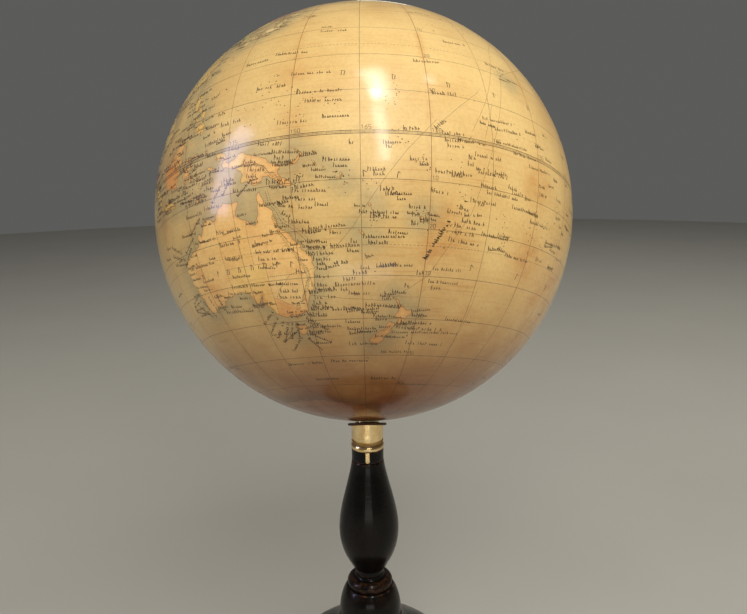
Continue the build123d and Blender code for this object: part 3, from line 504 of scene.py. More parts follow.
def gridPiece(name, points, extras, finish, body):
    rows, columns = points.shape[:2]
    index = np.arange(rows * columns).reshape(rows, columns)
    quads = np.stack([index[:-1, :-1], index[:-1, 1:], index[1:, 1:], index[1:, :-1]],
                     -1).reshape(-1, 4)
    mesh = bpy.data.meshes.new(name)
    mesh.from_pydata(points.reshape(-1, 3).tolist(), [], quads.tolist())
    for key, values in extras.items():
        wide = values.ndim == 3
        layer = mesh.attributes.new(key, "FLOAT_COLOR" if wide else "FLOAT", "POINT")
        layer.data.foreach_set("color" if wide else "value", values.astype(np.float32).ravel())
    mesh.shade_smooth()
    mesh.set_sharp_from_angle(angle=math.radians(40))
    mesh.materials.append(finish)
    piece = placed(name, mesh)
    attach(piece, body)
    return piece


mapPaper = {
    "seaPale": tone(230, 197, 130),
    "seaDeep": tone(214, 176, 110),
    "shoreWash": tone(178, 161, 115),
    "ink": tone(46, 32, 18),
    "amber": tone(216, 160, 88),
    "brown": tone(132, 82, 38),
    "bottomShadeAndBrowning": tone(150, 98, 46),
    "sheetStep": 0.4,  # degrees between points
    "gores": 12,
    "goreWidth": 30.0,
    "capEdge": 80.0,
    "capSteps": (240, 16),
    "bore": 0.00465,
    "meridianStep": 15.0,
    "parallelStep": 10.0,
    "circles": (23.45, 66.55),
    "paper": 0.0003,
}


def mapFinish():
    look = mapPaper
    finish, tree, shader, place = newFinish(
        "varnishedMap", Specular_IOR_Level=0.4, Coat_Weight=0.75, Coat_Roughness=0.13, Coat_IOR=1.5)
    longitude, latitude, coast, gap, age = (
        carried(tree, name)
        for name in ("lonDeg", "latDeg", "coastDistance", "borderGap", "ageStain"))
    shrink = maths(tree, "COSINE", maths(tree, "RADIANS", latitude))
    cloudy, fibre = grain(tree, place, 26, 5), grain(tree, place, 700, 3, 0.7)
    mottled = grain(tree, place, 90, 6, 0.65)
    ragged = maths(tree, "MULTIPLY_ADD", maths(tree, "SUBTRACT", grain(tree, place, 420, 3), 0.5),
                   0.26, coast)
    ashore = ramp(tree, ragged, -0.03, 0.05)

    sea = blended(tree, ramp(tree, cloudy, 0.3, 0.72), look["seaPale"], look["seaDeep"])
    wash = times(tree, ramp(tree, coast, -5.5, -0.2), ramp(tree, mottled, 0.15, 0.7, 0.45, 1))
    sea = blended(tree, times(tree, wash, 0.8), sea, look["shoreWash"])

    tint = carried(tree, "landTint", True)
    nearEdge = ramp(tree, maths(tree, "MINIMUM", coast, times(tree, gap, 0.6)), 0.9, 0.1)
    richer = blended(tree, 0.55, tint, look["amber"], "MULTIPLY")
    land = blended(tree, times(tree, nearEdge, 0.5), tint, richer)
    land = blended(tree, ramp(tree, mottled, 0.45, 0.75, 0, 0.5), land, richer)
    colour = blended(tree, ashore, sea, land)

    # printed lines: coast, borders, net, the graduated equator, tropics and polar circles
    coastLine = ramp(tree, maths(tree, "ABSOLUTE", ragged), 0.1, 0.03, 0, 0.55)
    dashes = maths(tree, "GREATER_THAN", maths(tree, "FRACT", times(tree, longitude, 1.1)), 0.42)
    border = times(tree, ramp(tree, maths(tree, "ABSOLUTE", gap), 0.1, 0.04, 0, 0.55), ashore)
    east = times(tree, maths(tree, "PINGPONG", longitude, look["meridianStep"] / 2), shrink)
    north = maths(tree, "PINGPONG", maths(tree, "ADD", latitude, 90.0), look["parallelStep"] / 2)
    net = ramp(tree, maths(tree, "MINIMUM", east, north), 0.095, 0.035, 0, 0.72)
    flat = maths(tree, "ABSOLUTE", latitude)
    offRail = maths(tree, "ABSOLUTE", maths(tree, "SUBTRACT", flat, 0.32))
    rails = ramp(tree, offRail, 0.13, 0.06, 0, 0.85)
    ticks = times(tree, maths(tree, "LESS_THAN", flat, 0.3),
                  ramp(tree, maths(tree, "PINGPONG", longitude, 0.5), 0.1, 0.04, 0, 0.4))
    offCircles = [maths(tree, "ABSOLUTE", maths(tree, "SUBTRACT", flat, parallel))
                  for parallel in look["circles"]]
    circles = maths(tree, "MAXIMUM", *(ramp(tree, off, 0.1, 0.04, 0, 0.6) for off in offCircles))
    circles = times(tree, circles, dashes)
    printed = coastLine
    for line in (border, net, rails, ticks, circles):
        printed = maths(tree, "MAXIMUM", printed, line)
    printed = times(tree, printed, ramp(tree, grain(tree, place, 300, 4), 0.25, 0.6, 0.55, 1))
    colour = blended(tree, printed, colour, look["ink"])

    # age: yellowed varnish, the seams' glue stains, rubbed and browned poles, foxing; and painted
    # shade with browning over the south, the globe's bottom
    seam = times(tree, maths(tree, "PINGPONG", longitude, look["goreWidth"] / 2), shrink)
    glue = times(tree, ramp(tree, seam, 1.5, 0.05),
                 ramp(tree, grain(tree, place, 60, 5, 0.7), 0.4, 0.7))
    stain = maths(tree, "MAXIMUM", times(tree, glue, 0.38),
                  times(tree, age, ramp(tree, mottled, 0.3, 0.62, 0.2, 0.85)))
    colour = blended(tree, stain, colour, blended(tree, 0.85, colour, look["amber"], "MULTIPLY"))
    # painted shade with browning: the colour darkens towards the south pole, which is the globe's
    # bottom
    south = times(tree, ramp(tree, latitude, -24.0, -72.0), ramp(tree, cloudy, 0.25, 0.6, 0.7, 1))
    colour = blended(tree, south, colour, blended(tree, 1.0, colour, look["bottomShadeAndBrowning"], "MULTIPLY"))
    rubbed = ramp(tree, seam, 0.1, 0.02, 0, 0.3)
    spots = addNode(tree, "ShaderNodeTexVoronoi",
                    {"Vector": place, "Scale": 210.0, "Randomness": 1.0})
    foxing = times(tree, ramp(tree, spots.outputs["Distance"], 0.16, 0.05),
                   ramp(tree, grain(tree, place, 34, 3), 0.56, 0.7, 0, 0.75))
    dark = maths(tree, "MAXIMUM", rubbed, foxing)
    colour = blended(tree, dark, colour, look["brown"])
    colour = blended(tree, ramp(tree, fibre, 0.35, 0.75, 0, 0.14), colour, look["brown"])
    laid = addNode(tree, "ShaderNodeCombineXYZ",
                   {"X": times(tree, longitude, 0.035), "Y": latitude})
    streaks = ramp(tree, grain(tree, laid.outputs[0], 1.6, 5, 0.7), 0.5, 0.72, 0, 0.5)
    streaks = times(tree, streaks, ramp(tree, cloudy, 0.35, 0.65, 0.3, 1))
    colour = blended(tree, streaks, colour, blended(tree, 0.8, colour, look["amber"], "MULTIPLY"))

    brushed = grain(tree, stretched(tree, place, 1, 1, 9), 60, 4, 0.6)
    ridge = ramp(tree, seam, 0.35, 0.05)
    relief = maths(tree, "MULTIPLY_ADD", ridge, 0.8,
                   maths(tree, "MULTIPLY_ADD", fibre, 0.16, brushed))
    varnish = maths(tree, "MULTIPLY_ADD", grain(tree, place, 45, 2), 0.7, times(tree, brushed, 0.5))
    wire(tree, shader, Base_Color=colour, Roughness=ramp(tree, mottled, 0.2, 0.8, 0.36, 0.52),
         Normal=bumped(tree, relief, 0.00006), Coat_Normal=bumped(tree, varnish, 0.00005))
    return finish


varnishedMap = mapFinish()


def sheetExtras(longitudes, latitudes):
    east, north = np.meshgrid(longitudes, latitudes)
    tint, gap = landTints(longitudes, latitudes)
    return {"lonDeg": east, "latDeg": north, "coastDistance": coastDistance(longitudes, latitudes),
            "borderGap": gap, "ageStain": ageStains(longitudes, latitudes), "landTint": tint}


def mapSheet(name, west, east, south, north, steps, replaced):
    longitudes = np.linspace(west, east, steps[0] + 1)
    latitudes = np.linspace(south, north, steps[1] + 1)
    extras = sheetExtras(longitudes, latitudes)
    padded = {key: np.pad(values, ((1, 1), (1, 1)) + ((0, 0),) * (values.ndim - 2), mode="edge")
              for key, values in extras.items()}
    lift = np.full(padded["lonDeg"].shape, -mapPaper["paper"])
    lift[1:-1, 1:-1] = 0.0  # the sheet's cut edge is turned in by its thickness
    points = onGlobe(padded["lonDeg"], padded["latDeg"], lift)
    piece = gridPiece(name, points, padded, varnishedMap, "globe")
    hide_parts(replaced)
    return piece


goreWidth, capEdge, capSteps = mapPaper["goreWidth"], mapPaper["capEdge"], mapPaper["capSteps"]
goreSteps = round(goreWidth / mapPaper["sheetStep"]), round(2 * capEdge / mapPaper["sheetStep"])
for number in range(mapPaper["gores"]):
    west = number * goreWidth
    mapSheet(f"map_gore_{number + 1:02d}", west, west + goreWidth, -capEdge, capEdge, goreSteps,
             f"gore_{number + 1:02d}")
boreLatitude = 90 - math.degrees(math.asin(mapPaper["bore"] / globe["radius"]))
mapSheet("map_cap_north", 0, 360, capEdge, boreLatitude, capSteps, "calotte_north")
mapSheet("map_cap_south", 0, 360, -boreLatitude, -capEdge, capSteps, "calotte_south")
print("stage 3: map sheets pasted on")


# the engraver's work: every stroke is a sliver of ink lying on the paper

engraving = {
    "lift": 0.000022, "letterHeight": 0.92, "letterPitch": 0.44, "stroke": 0.15,
    "landMarkHeight": 1.25, "seaMarkHeight": 1.35,
    "shoreStep": 7, "scattered": 1500,
}
strokes = []  # longitude and latitude of both ends, width in degrees, darkness


def inkLine(points, width=0.07, dark=0.7, dash=0.0):
    points = np.asarray(points, float)
    for start, end in zip(points[:-1], points[1:]):
        length = math.hypot((end[0] - start[0]) * narrowing(start[1]), end[1] - start[1])
        count = max(1, math.ceil(length / (dash or 1.5)))
        for k in range(count):
            low = start + (end - start) * k / count
            high = start + (end - start) * (k + (0.6 if dash else 1)) / count
            strokes.append((*low, *high, width, dark))


def engravedRow(longitude, latitude, length, slope=0.0, height=None, dark=0.8):
    # a row of small marks that reads as a place name from afar and spells nothing
    height = height or engraving["letterHeight"] * chance.uniform(0.8, 1.1)
    shrink = max(narrowing(latitude), 0.2)
    along = np.array([math.cos(math.radians(slope)) / shrink, math.sin(math.radians(slope))])
    upward = np.array([-math.sin(math.radians(slope)) / shrink, math.cos(math.radians(slope))])
    start = np.array([longitude, latitude]) - upward * height / 2
    pitch = engraving["letterPitch"] * height / 0.7
    for number in range(max(2, round(length / pitch))):
        if number > 2 and chance.random() < 0.12:
            continue
        at = start + along * number * pitch
        tall = height * (1.2 if number == 0 else chance.choice([0.62, 0.62, 0.95]))
        lean = chance.uniform(-0.04, 0.16) * height
        foot, top = at + along * 0.06, at + along * (0.06 + lean) + upward * tall
        strokes.append((*foot, *top, engraving["stroke"], dark))
        if chance.random() < 0.8:
            bow = at + along * pitch * 0.62 + upward * tall * chance.uniform(0.15, 0.6)
            strokes.append((*(foot + (top - foot) * chance.uniform(0.3, 1)), *bow,
                            engraving["stroke"], dark))
            if chance.random() < 0.55:
                strokes.append((*bow, *(at + along * pitch * 0.6), engraving["stroke"], dark))


def spacedMarks(places, height, width):
    # the large marks set far apart that cross a country or an ocean
    for longitude, latitude in places:
        shrink = narrowing(latitude)
        lean = chance.uniform(-0.1, 0.25) * height
        foot = (longitude, latitude - height / 2)
        top = (longitude + lean / shrink, latitude + height / 2)
        strokes.append((*foot, *top, width, 1.0))
        reach = chance.uniform(0.45, 0.6) * height / shrink
        middle = latitude + chance.uniform(-0.1, 0.35) * height
        strokes.append((*top, longitude + reach, middle, width * 0.7, 1.0))
        if chance.random() < 0.35:
            strokes.append((longitude + reach, middle, longitude + reach * 0.7, latitude - height
                            / 2, width, 1.0))


numerals = {
    "0": "00 20 24 04 00", "1": "03 14 10", "2": "03 14 23 00 20", "3": "04 24 12 21 10 00",
    "4": "21 01 14 10",
    "5": "24 04 02 22 20 00", "6": "24 02 00 20 22 02", "7": "04 24 10", "8": "00 20 04 24 00",
    "9": "22 02 04 24 20",
}


def graduationNumber(longitude, latitude, number, height=0.9):
    shrink = narrowing(latitude)
    for place, digit in enumerate(str(number)):
        corners = [(longitude + (place * 0.85 + int(c[0]) * 0.27) * height / shrink,
                    latitude + int(c[1]) * height / 4) for c in numerals[digit].split()]
        for (x1, y1), (x2, y2) in zip(corners[:-1], corners[1:]):
            strokes.append((x1, y1, x2, y2, 0.09, 0.85))


# rows of names round the side that faces forward: longitude, latitude, length and slope
frontRows = (
    "157.1 -5.6 5.7 -2 159.3 -7 3.3 -2 166.4 -8 4.1 1 167.6 -8.9 2.7 2 174 .9 5 5 180.9 1.6 3.6 40 "
    "169.7 -2.3 3.9 3 170.3 -3.2 1.5 3 162.7 -2.2 1.5 -1 175.3 -5.6 4 5 177.4 -6.6 1.9 5 182.5 .7 "
    "5.4 4 183 -.8 5.1 4 183.6 -2 4.4 4 180.9 -7.8 6.6 2 184.6 -8.3 2.7 2 188.6 -3.9 2.1 3 188.4 "
    "-5.4 2.1 2 170.2 -13.1 5.4 3 172.7 -14 1.8 3 180 -11.8 4.1 -5 175.3 -15.5 3.7 -1 176 -17.1 "
    "1.8 4 177.9 -18.2 1.6 4 176 -18.9 1.5 4 164.5 -16.7 8.3 -1 169.7 -17.7 3 0 153.2 -19.5 8.1 2 "
    "157.9 -20.7 2.4 -2 184 -15.9 3.7 -2 186.9 -14.8 2.7 -10 186.1 -18.6 5.2 -2 185 -21.7 7.8 -4 "
    "186.5 -20.1 4.9 -2 165.3 -21.8 8.6 1 166.5 -23 4.5 1 157.9 -23.6 6 2 161.6 -24.6 2.7 -1 162.5 "
    "-22.7 1.8 0 152.5 -22.3 4.6 -3 152.5 -24.9 5.3 0 154.3 -27.1 7 1 154.1 -28.1 2.5 -3 165.8 -26 "
    "1.8 21 168.3 -28 7.9 3 164.6 -28.3 1.8 0 182.2 -28.2 6.8 0 181.5 -31 7.2 -1 182.5 -32.5 2.3 4 "
    "178.2 -29.3 1.9 3 158.1 -31.9 8.8 2 153.8 -33 6.2 1 152.4 -34.5 5 1 151.8 -35.8 4.8 1 161.4 "
    "-33.8 2.4 0 172.5 -33.6 3.4 -3 175.5 -32.2 .9 3 165.6 -36.7 8.2 0 166 -38.2 2.8 1 167.8 -39.4 "
    "3.7 1 156.7 -37.5 7.1 1 159.9 -40.6 3.4 -1 160.3 -42.4 6.2 0 150.8 -37.2 3.9 0 149.3 -41.5 "
    "7.1 0 148.6 -42.9 5 0 178.6 -39 3.5 1 175.6 -40.8 7.9 -1 174.6 -42 5.8 -1 173.4 -43.4 16 1 "
    "160.3 -46.5 6.3 0 120.4 -.4 4 13 121.3 -2.4 4.6 9 124.7 -4.8 4.9 4 114.5 -1.7 4.4 7 113 -4.4 "
    "5.8 -1 115.9 -6.4 5.4 -1 111.4 -6.3 5.5 -1 121 -9.7 5.1 -1 126.4 -11.7 4.9 -1 119.1 -12.1 6.4 "
    "-2 115.6 -15.8 6 -3 120.6 -18.4 5.2 -2 139 -3.8 3.3 -7 140 -5.6 4.6 -9 139.6 -7 2.5 -9 135.8 "
    "-9.6 6.3 -6 146 -2.8 6.2 -7 146.5 -4.1 3.3 -7 146.1 -5.6 3.9 -7 145.8 -9.2 3.3 -7 150.2 -11.5 "
    "8 -4 150.9 -13.3 4.6 -4 151.4 -15.1 3.4 -4 146.8 -14.1 3.6 -10 147.5 -15.8 2.2 -33 148.8 "
    "-17.8 4.8 -5 151.7 -20.1 3.2 -5 152.6 -23.6 4 -3 153.5 -26 4 -3 129.1 -17.6 7 -2 129.2 -20.4 "
    "6.6 0 139.5 -21.4 3.8 -6 139.3 -23.3 9.5 -3 139.6 -24.9 4.5 -3 129.9 -23.5 4.9 -4 115.2 -23.6 "
    "9.7 0 130.5 -27.8 4.9 -3 129.1 -30 9.2 -3 142.8 -30.7 5.3 -4 143.5 -32.4 5.9 -4 142.8 -33.7 5 "
    "-4 125.7 -34.4 3.6 -4 122.8 -35.4 8.4 -4 133.9 -35.2 3.1 -6 153.2 -29.8 3.2 -3 151.4 -36.6 "
    "4.4 -3 150.2 -38.6 4.2 -3 135.5 -42.7 6.3 -1 127.5 2.6 6.1 6 135.2 -.1 3.9 -5 142.7 -.5 6.1 "
    "-8 108.6 -16.7 5.9 -28 107.6 -18.7 6.7 -19 109 -21.2 5.5 -8 192.8 5.9 9 3 195.9 4 8 5 196.1 1 "
    "10 2 186.1 -.4 7 0 190.2 -3 7 0 201.1 -.5 8 2 206.3 -2.4 9 3 191.1 -6.7 8 0 193.6 -10.8 9 0 "
    "201.3 -12.7 9 0 208.1 -14.7 9 1 189.5 -13 7 0 187.8 -17.5 6 -2 193.4 -19.8 8 -1 216.5 -17.8 "
    "10 3 201.8 -23.3 8 -2 177.4 -42.3 9 -1 170.6 -49 7 2 189 -39.6 7 -2 178.4 -46.3 9 -1 167.6 "
    "-57.7 6 1 180.6 -59.9 8 -1 143.2 -57.5 6 1 144.3 22.9 8 -7 149.5 15.5 9 -3 151.3 10.2 10 -1 "
    "141.2 13.2 8 -3 153.2 7.9 8 -2 155 29.2 6 -3 136.1 22 6 -1 127 14.9 5 19 120.8 11.4 5 17 "
    "157.1 3.8 6 0 177.4 18.6 6 6 186.9 27.3 6 7 198.2 23.1 6 -1 180.8 10.1 6 5 147.2 3.5 7 -2 "
    "152.8 -51.4 9 -1 135.4 -51.8 9 1"
)
landMarks = ("119.5 -26.2 125.5 -26.4 129.2 -26.5 132.9 -26.5 136.9 -26.4 140.7 -26.4 "
             "144.1 -26.5 147.7 -26.8")
seaMarks = ("165.6 -8.9 172.6 -9.1 151.3 -9.1 144.4 -9 172.2 13.4 184.8 12.8 197.3 13 209.2 13.5 "
            "192.2 -27.3 207.9 -27.6 224.9 -27.6 161 14.5 151.2 10.6")
crowded = ((100, 136, -11, 12, 40), (184, 236, -25, 8, 46),
           (146, 172, -46, -10, 30))  # west, east, south, north, rows
for longitude, latitude, length, slope in pairs(frontRows, 4):
    engravedRow(longitude, latitude, length, slope, dark=chance.uniform(0.75, 0.98))
spacedMarks(pairs(landMarks), engraving["landMarkHeight"], engraving["stroke"])
spacedMarks(pairs(seaMarks), engraving["seaMarkHeight"], engraving["stroke"])
for west, east, south, north, count in crowded:
    for number in range(count):
        engravedRow(chance.uniform(west, east), chance.uniform(south, north),
                    chance.uniform(2.2, 4.6),
                    chance.uniform(-6, 10), chance.uniform(0.7, 1.0), chance.uniform(0.8, 1))
for offset in (0, 0.35):  # the long row that climbs past the seam, cut twice over
    engravedRow(179.6 + offset, -26.2, 9.8, 63, 0.8, 1)

# names that run off the shores of Australia like the teeth of a comb, and the way they slope
for longitude, latitude, slope, length in pairs(
        "114 -29.5 20 -5 113.6 -31 12 -5 114 -32.8 0 -5.5 114.2 -34.6 -14 -5.5 115.6 -35.6 -42 -5 "
        "117.4 -36 -62 -5 119.6 -35.2 -75 -4.5 122.6 -34.8 -84 -4 139 -37 40 -4.5 140 -38.4 48 -5 "
        "141.4 -39.3 55 -5.5 142.8 -39.8 62 -5.5 144 -39.6 72 -5 145.4 -40 82 -4.5 148.8 -39.2 -34 "
        "4.5 149 -40.2 -28 5 149 -43.4 -30 5 147.6 -44.4 -55 4.5 145.2 -44 48 -5 144.4 -42.4 32 -5 "
        "113 -20.4 8 -5 118.6 -18.8 36 -6 121 -16.6 30 -6 124.6 -13 34 -6 129.2 -11 48 4.6 132.6 "
        "-10 52 4.4 136.8 -10.9 38 5", 4):
    shrink = narrowing(latitude)
    back = length if length < 0 else 0
    engravedRow(longitude + back * math.cos(math.radians(slope)) / shrink,
                latitude + back * math.sin(math.radians(slope)), abs(length), slope, 0.66, 0.9)

# rows begin at the shore and run inland or out to sea, all round the globe
shoreNames = [c for n, c in roughCoasts.items() if n not in ("antarctica", "caspian")]
for coast in shoreNames:
    for start in range(0, len(coast), engraving["shoreStep"]):
        longitude, latitude = coast[start]
        busy = 108 < longitude % 360 < 192 and -50 < latitude < 6
        if abs(latitude) > 70 or chance.random() < (0.62 if busy else 0.12):
            continue
        length = chance.uniform(2.0, 5.0)
        shrink = narrowing(latitude)
        if chance.random() < 0.5:
            longitude -= (length + 0.4) / shrink
        else:
            longitude += 0.4 / shrink
        engravedRow(longitude, latitude, length, chance.uniform(-6, 6), chance.uniform(0.5, 0.7),
                    0.8)

# rows inland, and a thin scatter over the oceans
for number in range(engraving["scattered"]):
    longitude, latitude = chance.uniform(0,
                                         360), math.degrees(math.asin(chance.uniform(-0.93, 0.94)))
    ashore = onLand(np.array([longitude]), [latitude])[0, 0]
    nearFront = 108 < longitude < 225 and -62 < latitude < 30
    if not ashore and (nearFront or chance.random() < 0.86):
        continue
    if ashore and nearFront and latitude < 5 and chance.random() < 0.45:
        continue
    engravedRow(longitude, latitude, chance.uniform(1.8, 4.6), chance.uniform(-8, 8),
                chance.uniform(0.5, 0.75), 0.75)

# island groups: middle, spread and number of islets
for longitude, latitude, spread, count in pairs(
        "171 9 4 22 173.5 0 3 12 178.5 -7 2.5 8 185 -20 2.5 14 188 -14 2 8 200 -18 4 12 209 -17.5 "
        "3 10 215 -17 6 26 220 -9 2.5 9 201.5 21.5 2 7 144 8 6 26 152 7.5 4 18 158.5 6.5 3 10 "
        "145.5 15 2 9 168 -18 1.5 12 179 -18 2 16 160 -9 3 16 166.5 -11 1.5 6 188 -11 2 5 190 -2.5 "
        "4 7 203 4 3 6 125 -4 4 26 128 -7 4 22 118 -6 3 12 122 11 3 16 128 27 2 8 -62 15 2.5 16 "
        "-75 24 3 12 -25 38 2.5 8 -16 28 1.5 7 -24 16 1.5 8 73 4 2.5 14 55 -5 3 10 57 -20 1.5 4 93 "
        "10 2 10 25 38 1.5 12 -170 53 6 14 150 47 4 10 -6 58 1 8 19 59 1.5 8 -74 -50 2 18 -90 0 "
        "1.5 6 151.5 -9.5 2 14 147 -18 2 8 178.5 -44 .6 3 166 -50.7 .5 3 159 -31.5 .4 2 168 "
        "-29 .3 2", 4):
    for east, north in chance.normal(0, 0.5, (int(count), 2)) * spread:
        size = chance.uniform(0.14, 0.34)
        turn = chance.uniform(0, 3.1)
        reach = np.array([math.cos(turn) / narrowing(latitude), math.sin(turn)]) * size / 2
        at = np.array([longitude + east, latitude + north])
        strokes.append((*(at - reach), *(at + reach), chance.uniform(0.12, 0.22), 0.9))

# state lines, rivers, ship and cable routes, the reef and the ranges
for line in ("129 -14.9 129 -31.7", "138 -16.6 138 -26", "129 -26 141 -26", "141 -26 141 -38",
             "141 -29 149 -29",
             "-123 49 -95 49", "-141 60.2 -141 69.6", "141 -2.7 141 -9"):
    inkLine(pairs(line), 0.09, 0.75, 0.5)
rivers = ("141 -34 143 -34.6 146 -36 148 -36.2", "142 -34 143.5 -32 146 -30 149 -28.5",
          "149 -28.4 151 -28.8 153.4 -28.2",
          "-50 0 -55 -2.2 -60 -3.2 -65 -3 -70 -4 -74 -5", "-90 29.5 -91 34 -90 38 -91 43 -95 47",
          "-90 38 -97 41 -105 46",
          "31 31 31 25 33 20 32.5 15 31.5 8 32 2", "13 -6 18 -3 23 1.5 26 -4 28 -10",
          "73 67 67 61 72 57 80 52",
          "83 71 87 66 90 58 94 52", "127 72 126 65 122 60 108 54",
          "121 32 114 30.5 108 30 103 28 98 33",
          "119 37.5 114 35 108 40 103 36", "48 46 46 50 49 55 43 56 38 57",
          "29 45 24 43.8 19 46 14 48.4",
          "90 23 88 26 82 26 78 29", "68 24 71 29 73 34", "141 -6.9 143 -6 144 -5.4",
          "6 4.5 7 8 3 13 -4 16 -9 11",
          "-58 -34 -58.5 -28 -55 -20", "-162 62.5 -155 64.5 -145 66 -136 62",
          "-135 69 -130 65 -120 61 -115 57")
for river in rivers:
    inkLine(roughLine(pairs(river), False), 0.06, 0.6)
for route in ("181.5 3.7 174.8 -3.7 169.7 -10.3 166.1 -15.4 163.3 -19.5 158 -25 153.6 -28",
              "181 1.7 186.4 6.9 192.9 12.8",
              "189.7 2 192.5 7 194.9 11.5 203 30 214 42 232 48", "193 1.1 194.6 6 196.2 10.5",
              "196.1 -31.7 195.9 -36.6 195.4 -44.6 192 -54",
              "239.1 -27.7 230 -38 220.2 -45.5 208 -51 196.8 -54",
              "151.6 -34 160 -35 172 -35.8 181 -30 190 -16 202 20.5 220 31 237 37.5",
              "115 -34 90 -36 60 -36 30 -35.5",
              "142 35 170 43 200 47 232 48.6", "80 6 95 5 104 1 112 12 114 22",
              "-10 38 -30 42 -55 44 -70 42",
              "-17 15 -25 0 -34 -7", "-34 -9 -38 -22 -52 -36", "44 12 60 10 77 7",
              "18 -35 0 -18 -17 14"):
    inkLine(pairs(route), 0.06, 0.62)
reef = pairs("144 -11 144.6 -13.6 146.2 -15.6 147 -17.6 149 -19 151.2 -20.8 152.8 -22.6")
inkLine(reef, 0.12, 0.7, 0.42)
inkLine(reef + (0.5, 0.4), 0.08, 0.6, 0.5)
for crest in ("145.5 -16 146.5 -20 149 -24 151.5 -28 151 -31.5 149 -35 147 -37", "-72 -50 -71 -36 "
              "-69 -22 -75 -11 -78 "
              "0 "
              "-74 "
              "8", "-122 50 -115 48 -109 42 -106 36 -103 28 -99 20", "-148 62 -136 60 -126 54",
              "72 36 80 31 90 28 98 28",
              "7 46 12 47 16 47", "60 52 60 60 64 67", "30 -29 37 -5 38 8",
              "138 -4.5 144 -6 147.5 -8.6", ""
              "168 -45 171 "
              "-43 "
              "173 "
              "-41.6", "42 43 48 41", "88 48 98 50 110 53 130 57", "110 -7.4 114 -8",
              "98 3 101 -1 104 -5"):
    for east, north in roughLine(pairs(crest), False):
        for side in (-1, 1):
            reach = chance.uniform(0.35, 0.75)
            tip = (east + side * reach, north - chance.uniform(0.1, 0.5))
            strokes.append((east + side * 0.08, north, *tip, 0.07, 0.5))
for longitude in range(15, 360, 15):
    graduationNumber(longitude + 0.25, 0.62, longitude if longitude <= 180 else 360 - longitude)
for latitude in (*range(10, 80, 10), *range(-10, -80, -10)):
    for meridian in (0, 90, 180, 270):
        graduationNumber(meridian + 0.3, latitude + 0.3, abs(latitude), 0.85)
print("stage 4: engraving cut,", len(strokes), "strokes")


def inkFinish():
    finish, tree, shader, place = newFinish(
        "printersInk", Roughness=0.45, Coat_Weight=0.75, Coat_Roughness=0.13,
        Specular_IOR_Level=0.4)
    dark = carried(tree, "inkDark")
    worn = times(tree, dark, ramp(tree, grain(tree, place, 500, 4, 0.7), 0.22, 0.55, 0.72, 1))
    colour = blended(tree, worn, tone(170, 128, 76), tone(34, 24, 16))
    wire(tree, shader, Base_Color=colour,
         Coat_Normal=bumped(tree, grain(tree, place, 45, 2), 0.00003))
    return finish


def engravingPiece():
    data = np.array(strokes)
    low = onGlobe(data[:, 0], data[:, 1], engraving["lift"])
    high = onGlobe(data[:, 2], data[:, 3], engraving["lift"])
    side = np.cross(high - low, (low + high) / 2 - globe["centre"])
    side *= (np.radians(data[:, 4]) * globe["radius"] / 2
             / np.maximum(np.linalg.norm(side, axis=-1), 1e-12))[:, None]
    corners = np.stack([low - side, high - side, high + side, low + side], 1)
    mesh = bpy.data.meshes.new("map_engraving")
    faces = np.arange(len(data) * 4).reshape(-1, 4)
    mesh.from_pydata(corners.reshape(-1, 3).tolist(), [], faces[:, ::-1].tolist())
    layer = mesh.attributes.new("inkDark", "FLOAT", "POINT")
    layer.data.foreach_set("value", np.repeat(data[:, 5], 4).astype(np.float32))
    # each stroke has its own small cell of the sheet the colours are laid out on
    cells = math.ceil(math.sqrt(len(data)))
    at = np.stack([np.arange(len(data)) % cells, np.arange(len(data)) // cells], -1)[:, None]
    spots = (at + np.array([(0.2, 0.2), (0.2, 0.8), (0.8, 0.8), (0.8, 0.2)])[::-1]) / cells
    layout = mesh.uv_layers.new(name="OFBake")
    layout.uv.foreach_set("vector", spots.astype(np.float32).ravel())
    mesh.shade_smooth()
    mesh.materials.append(inkFinish())
    piece = placed("map_engraving", mesh)
    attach(piece, "globe")


engravingPiece()
print("stage 5: engraving laid on the map")


# finishes of the stand

def ebonyFinish():
    finish, tree, shader, place = newFinish(
        "ebonisedWood", Specular_IOR_Level=0.1, Coat_Weight=0.26, Coat_Roughness=0.07,
        Coat_IOR=1.42)
    wear = carried(tree, "edgeWear")
    along = stretched(tree, place, 1, 1, 0.12)
    pores = grain(tree, along, 900, 5, 0.7)
    figure = grain(tree, along, 120, 4, 0.6)
    base = blended(tree, ramp(tree, figure, 0.35, 0.8), tone(5, 4, 3), tone(13, 9, 7))
    rubbed = times(tree, wear, ramp(tree, grain(tree, place, 260, 5, 0.7), 0.42, 0.62, 0, 0.85))
    base = blended(tree, rubbed, base, tone(88, 54, 30))
    dust = grain(tree, place, 1500, 2, 0.6)
    base = blended(tree, ramp(tree, dust, 0.66, 0.8, 0, 0.25), base, tone(120, 112, 100))
    rings = grain(tree, stretched(tree, place, 0.02, 0.02, 1), 1600, 2)
    relief = maths(tree, "MULTIPLY_ADD", pores, 0.5, rings)
    wire(tree, shader, Base_Color=base,
         Roughness=ramp(tree, grain(tree, place, 70, 5), 0.3, 0.75, 0.24, 0.42),
         Normal=bumped(tree, relief, 0.00004),
         Coat_Normal=bumped(tree, maths(tree, "ADD", grain(tree, place, 55, 3), rings), 0.000035))
    return finish


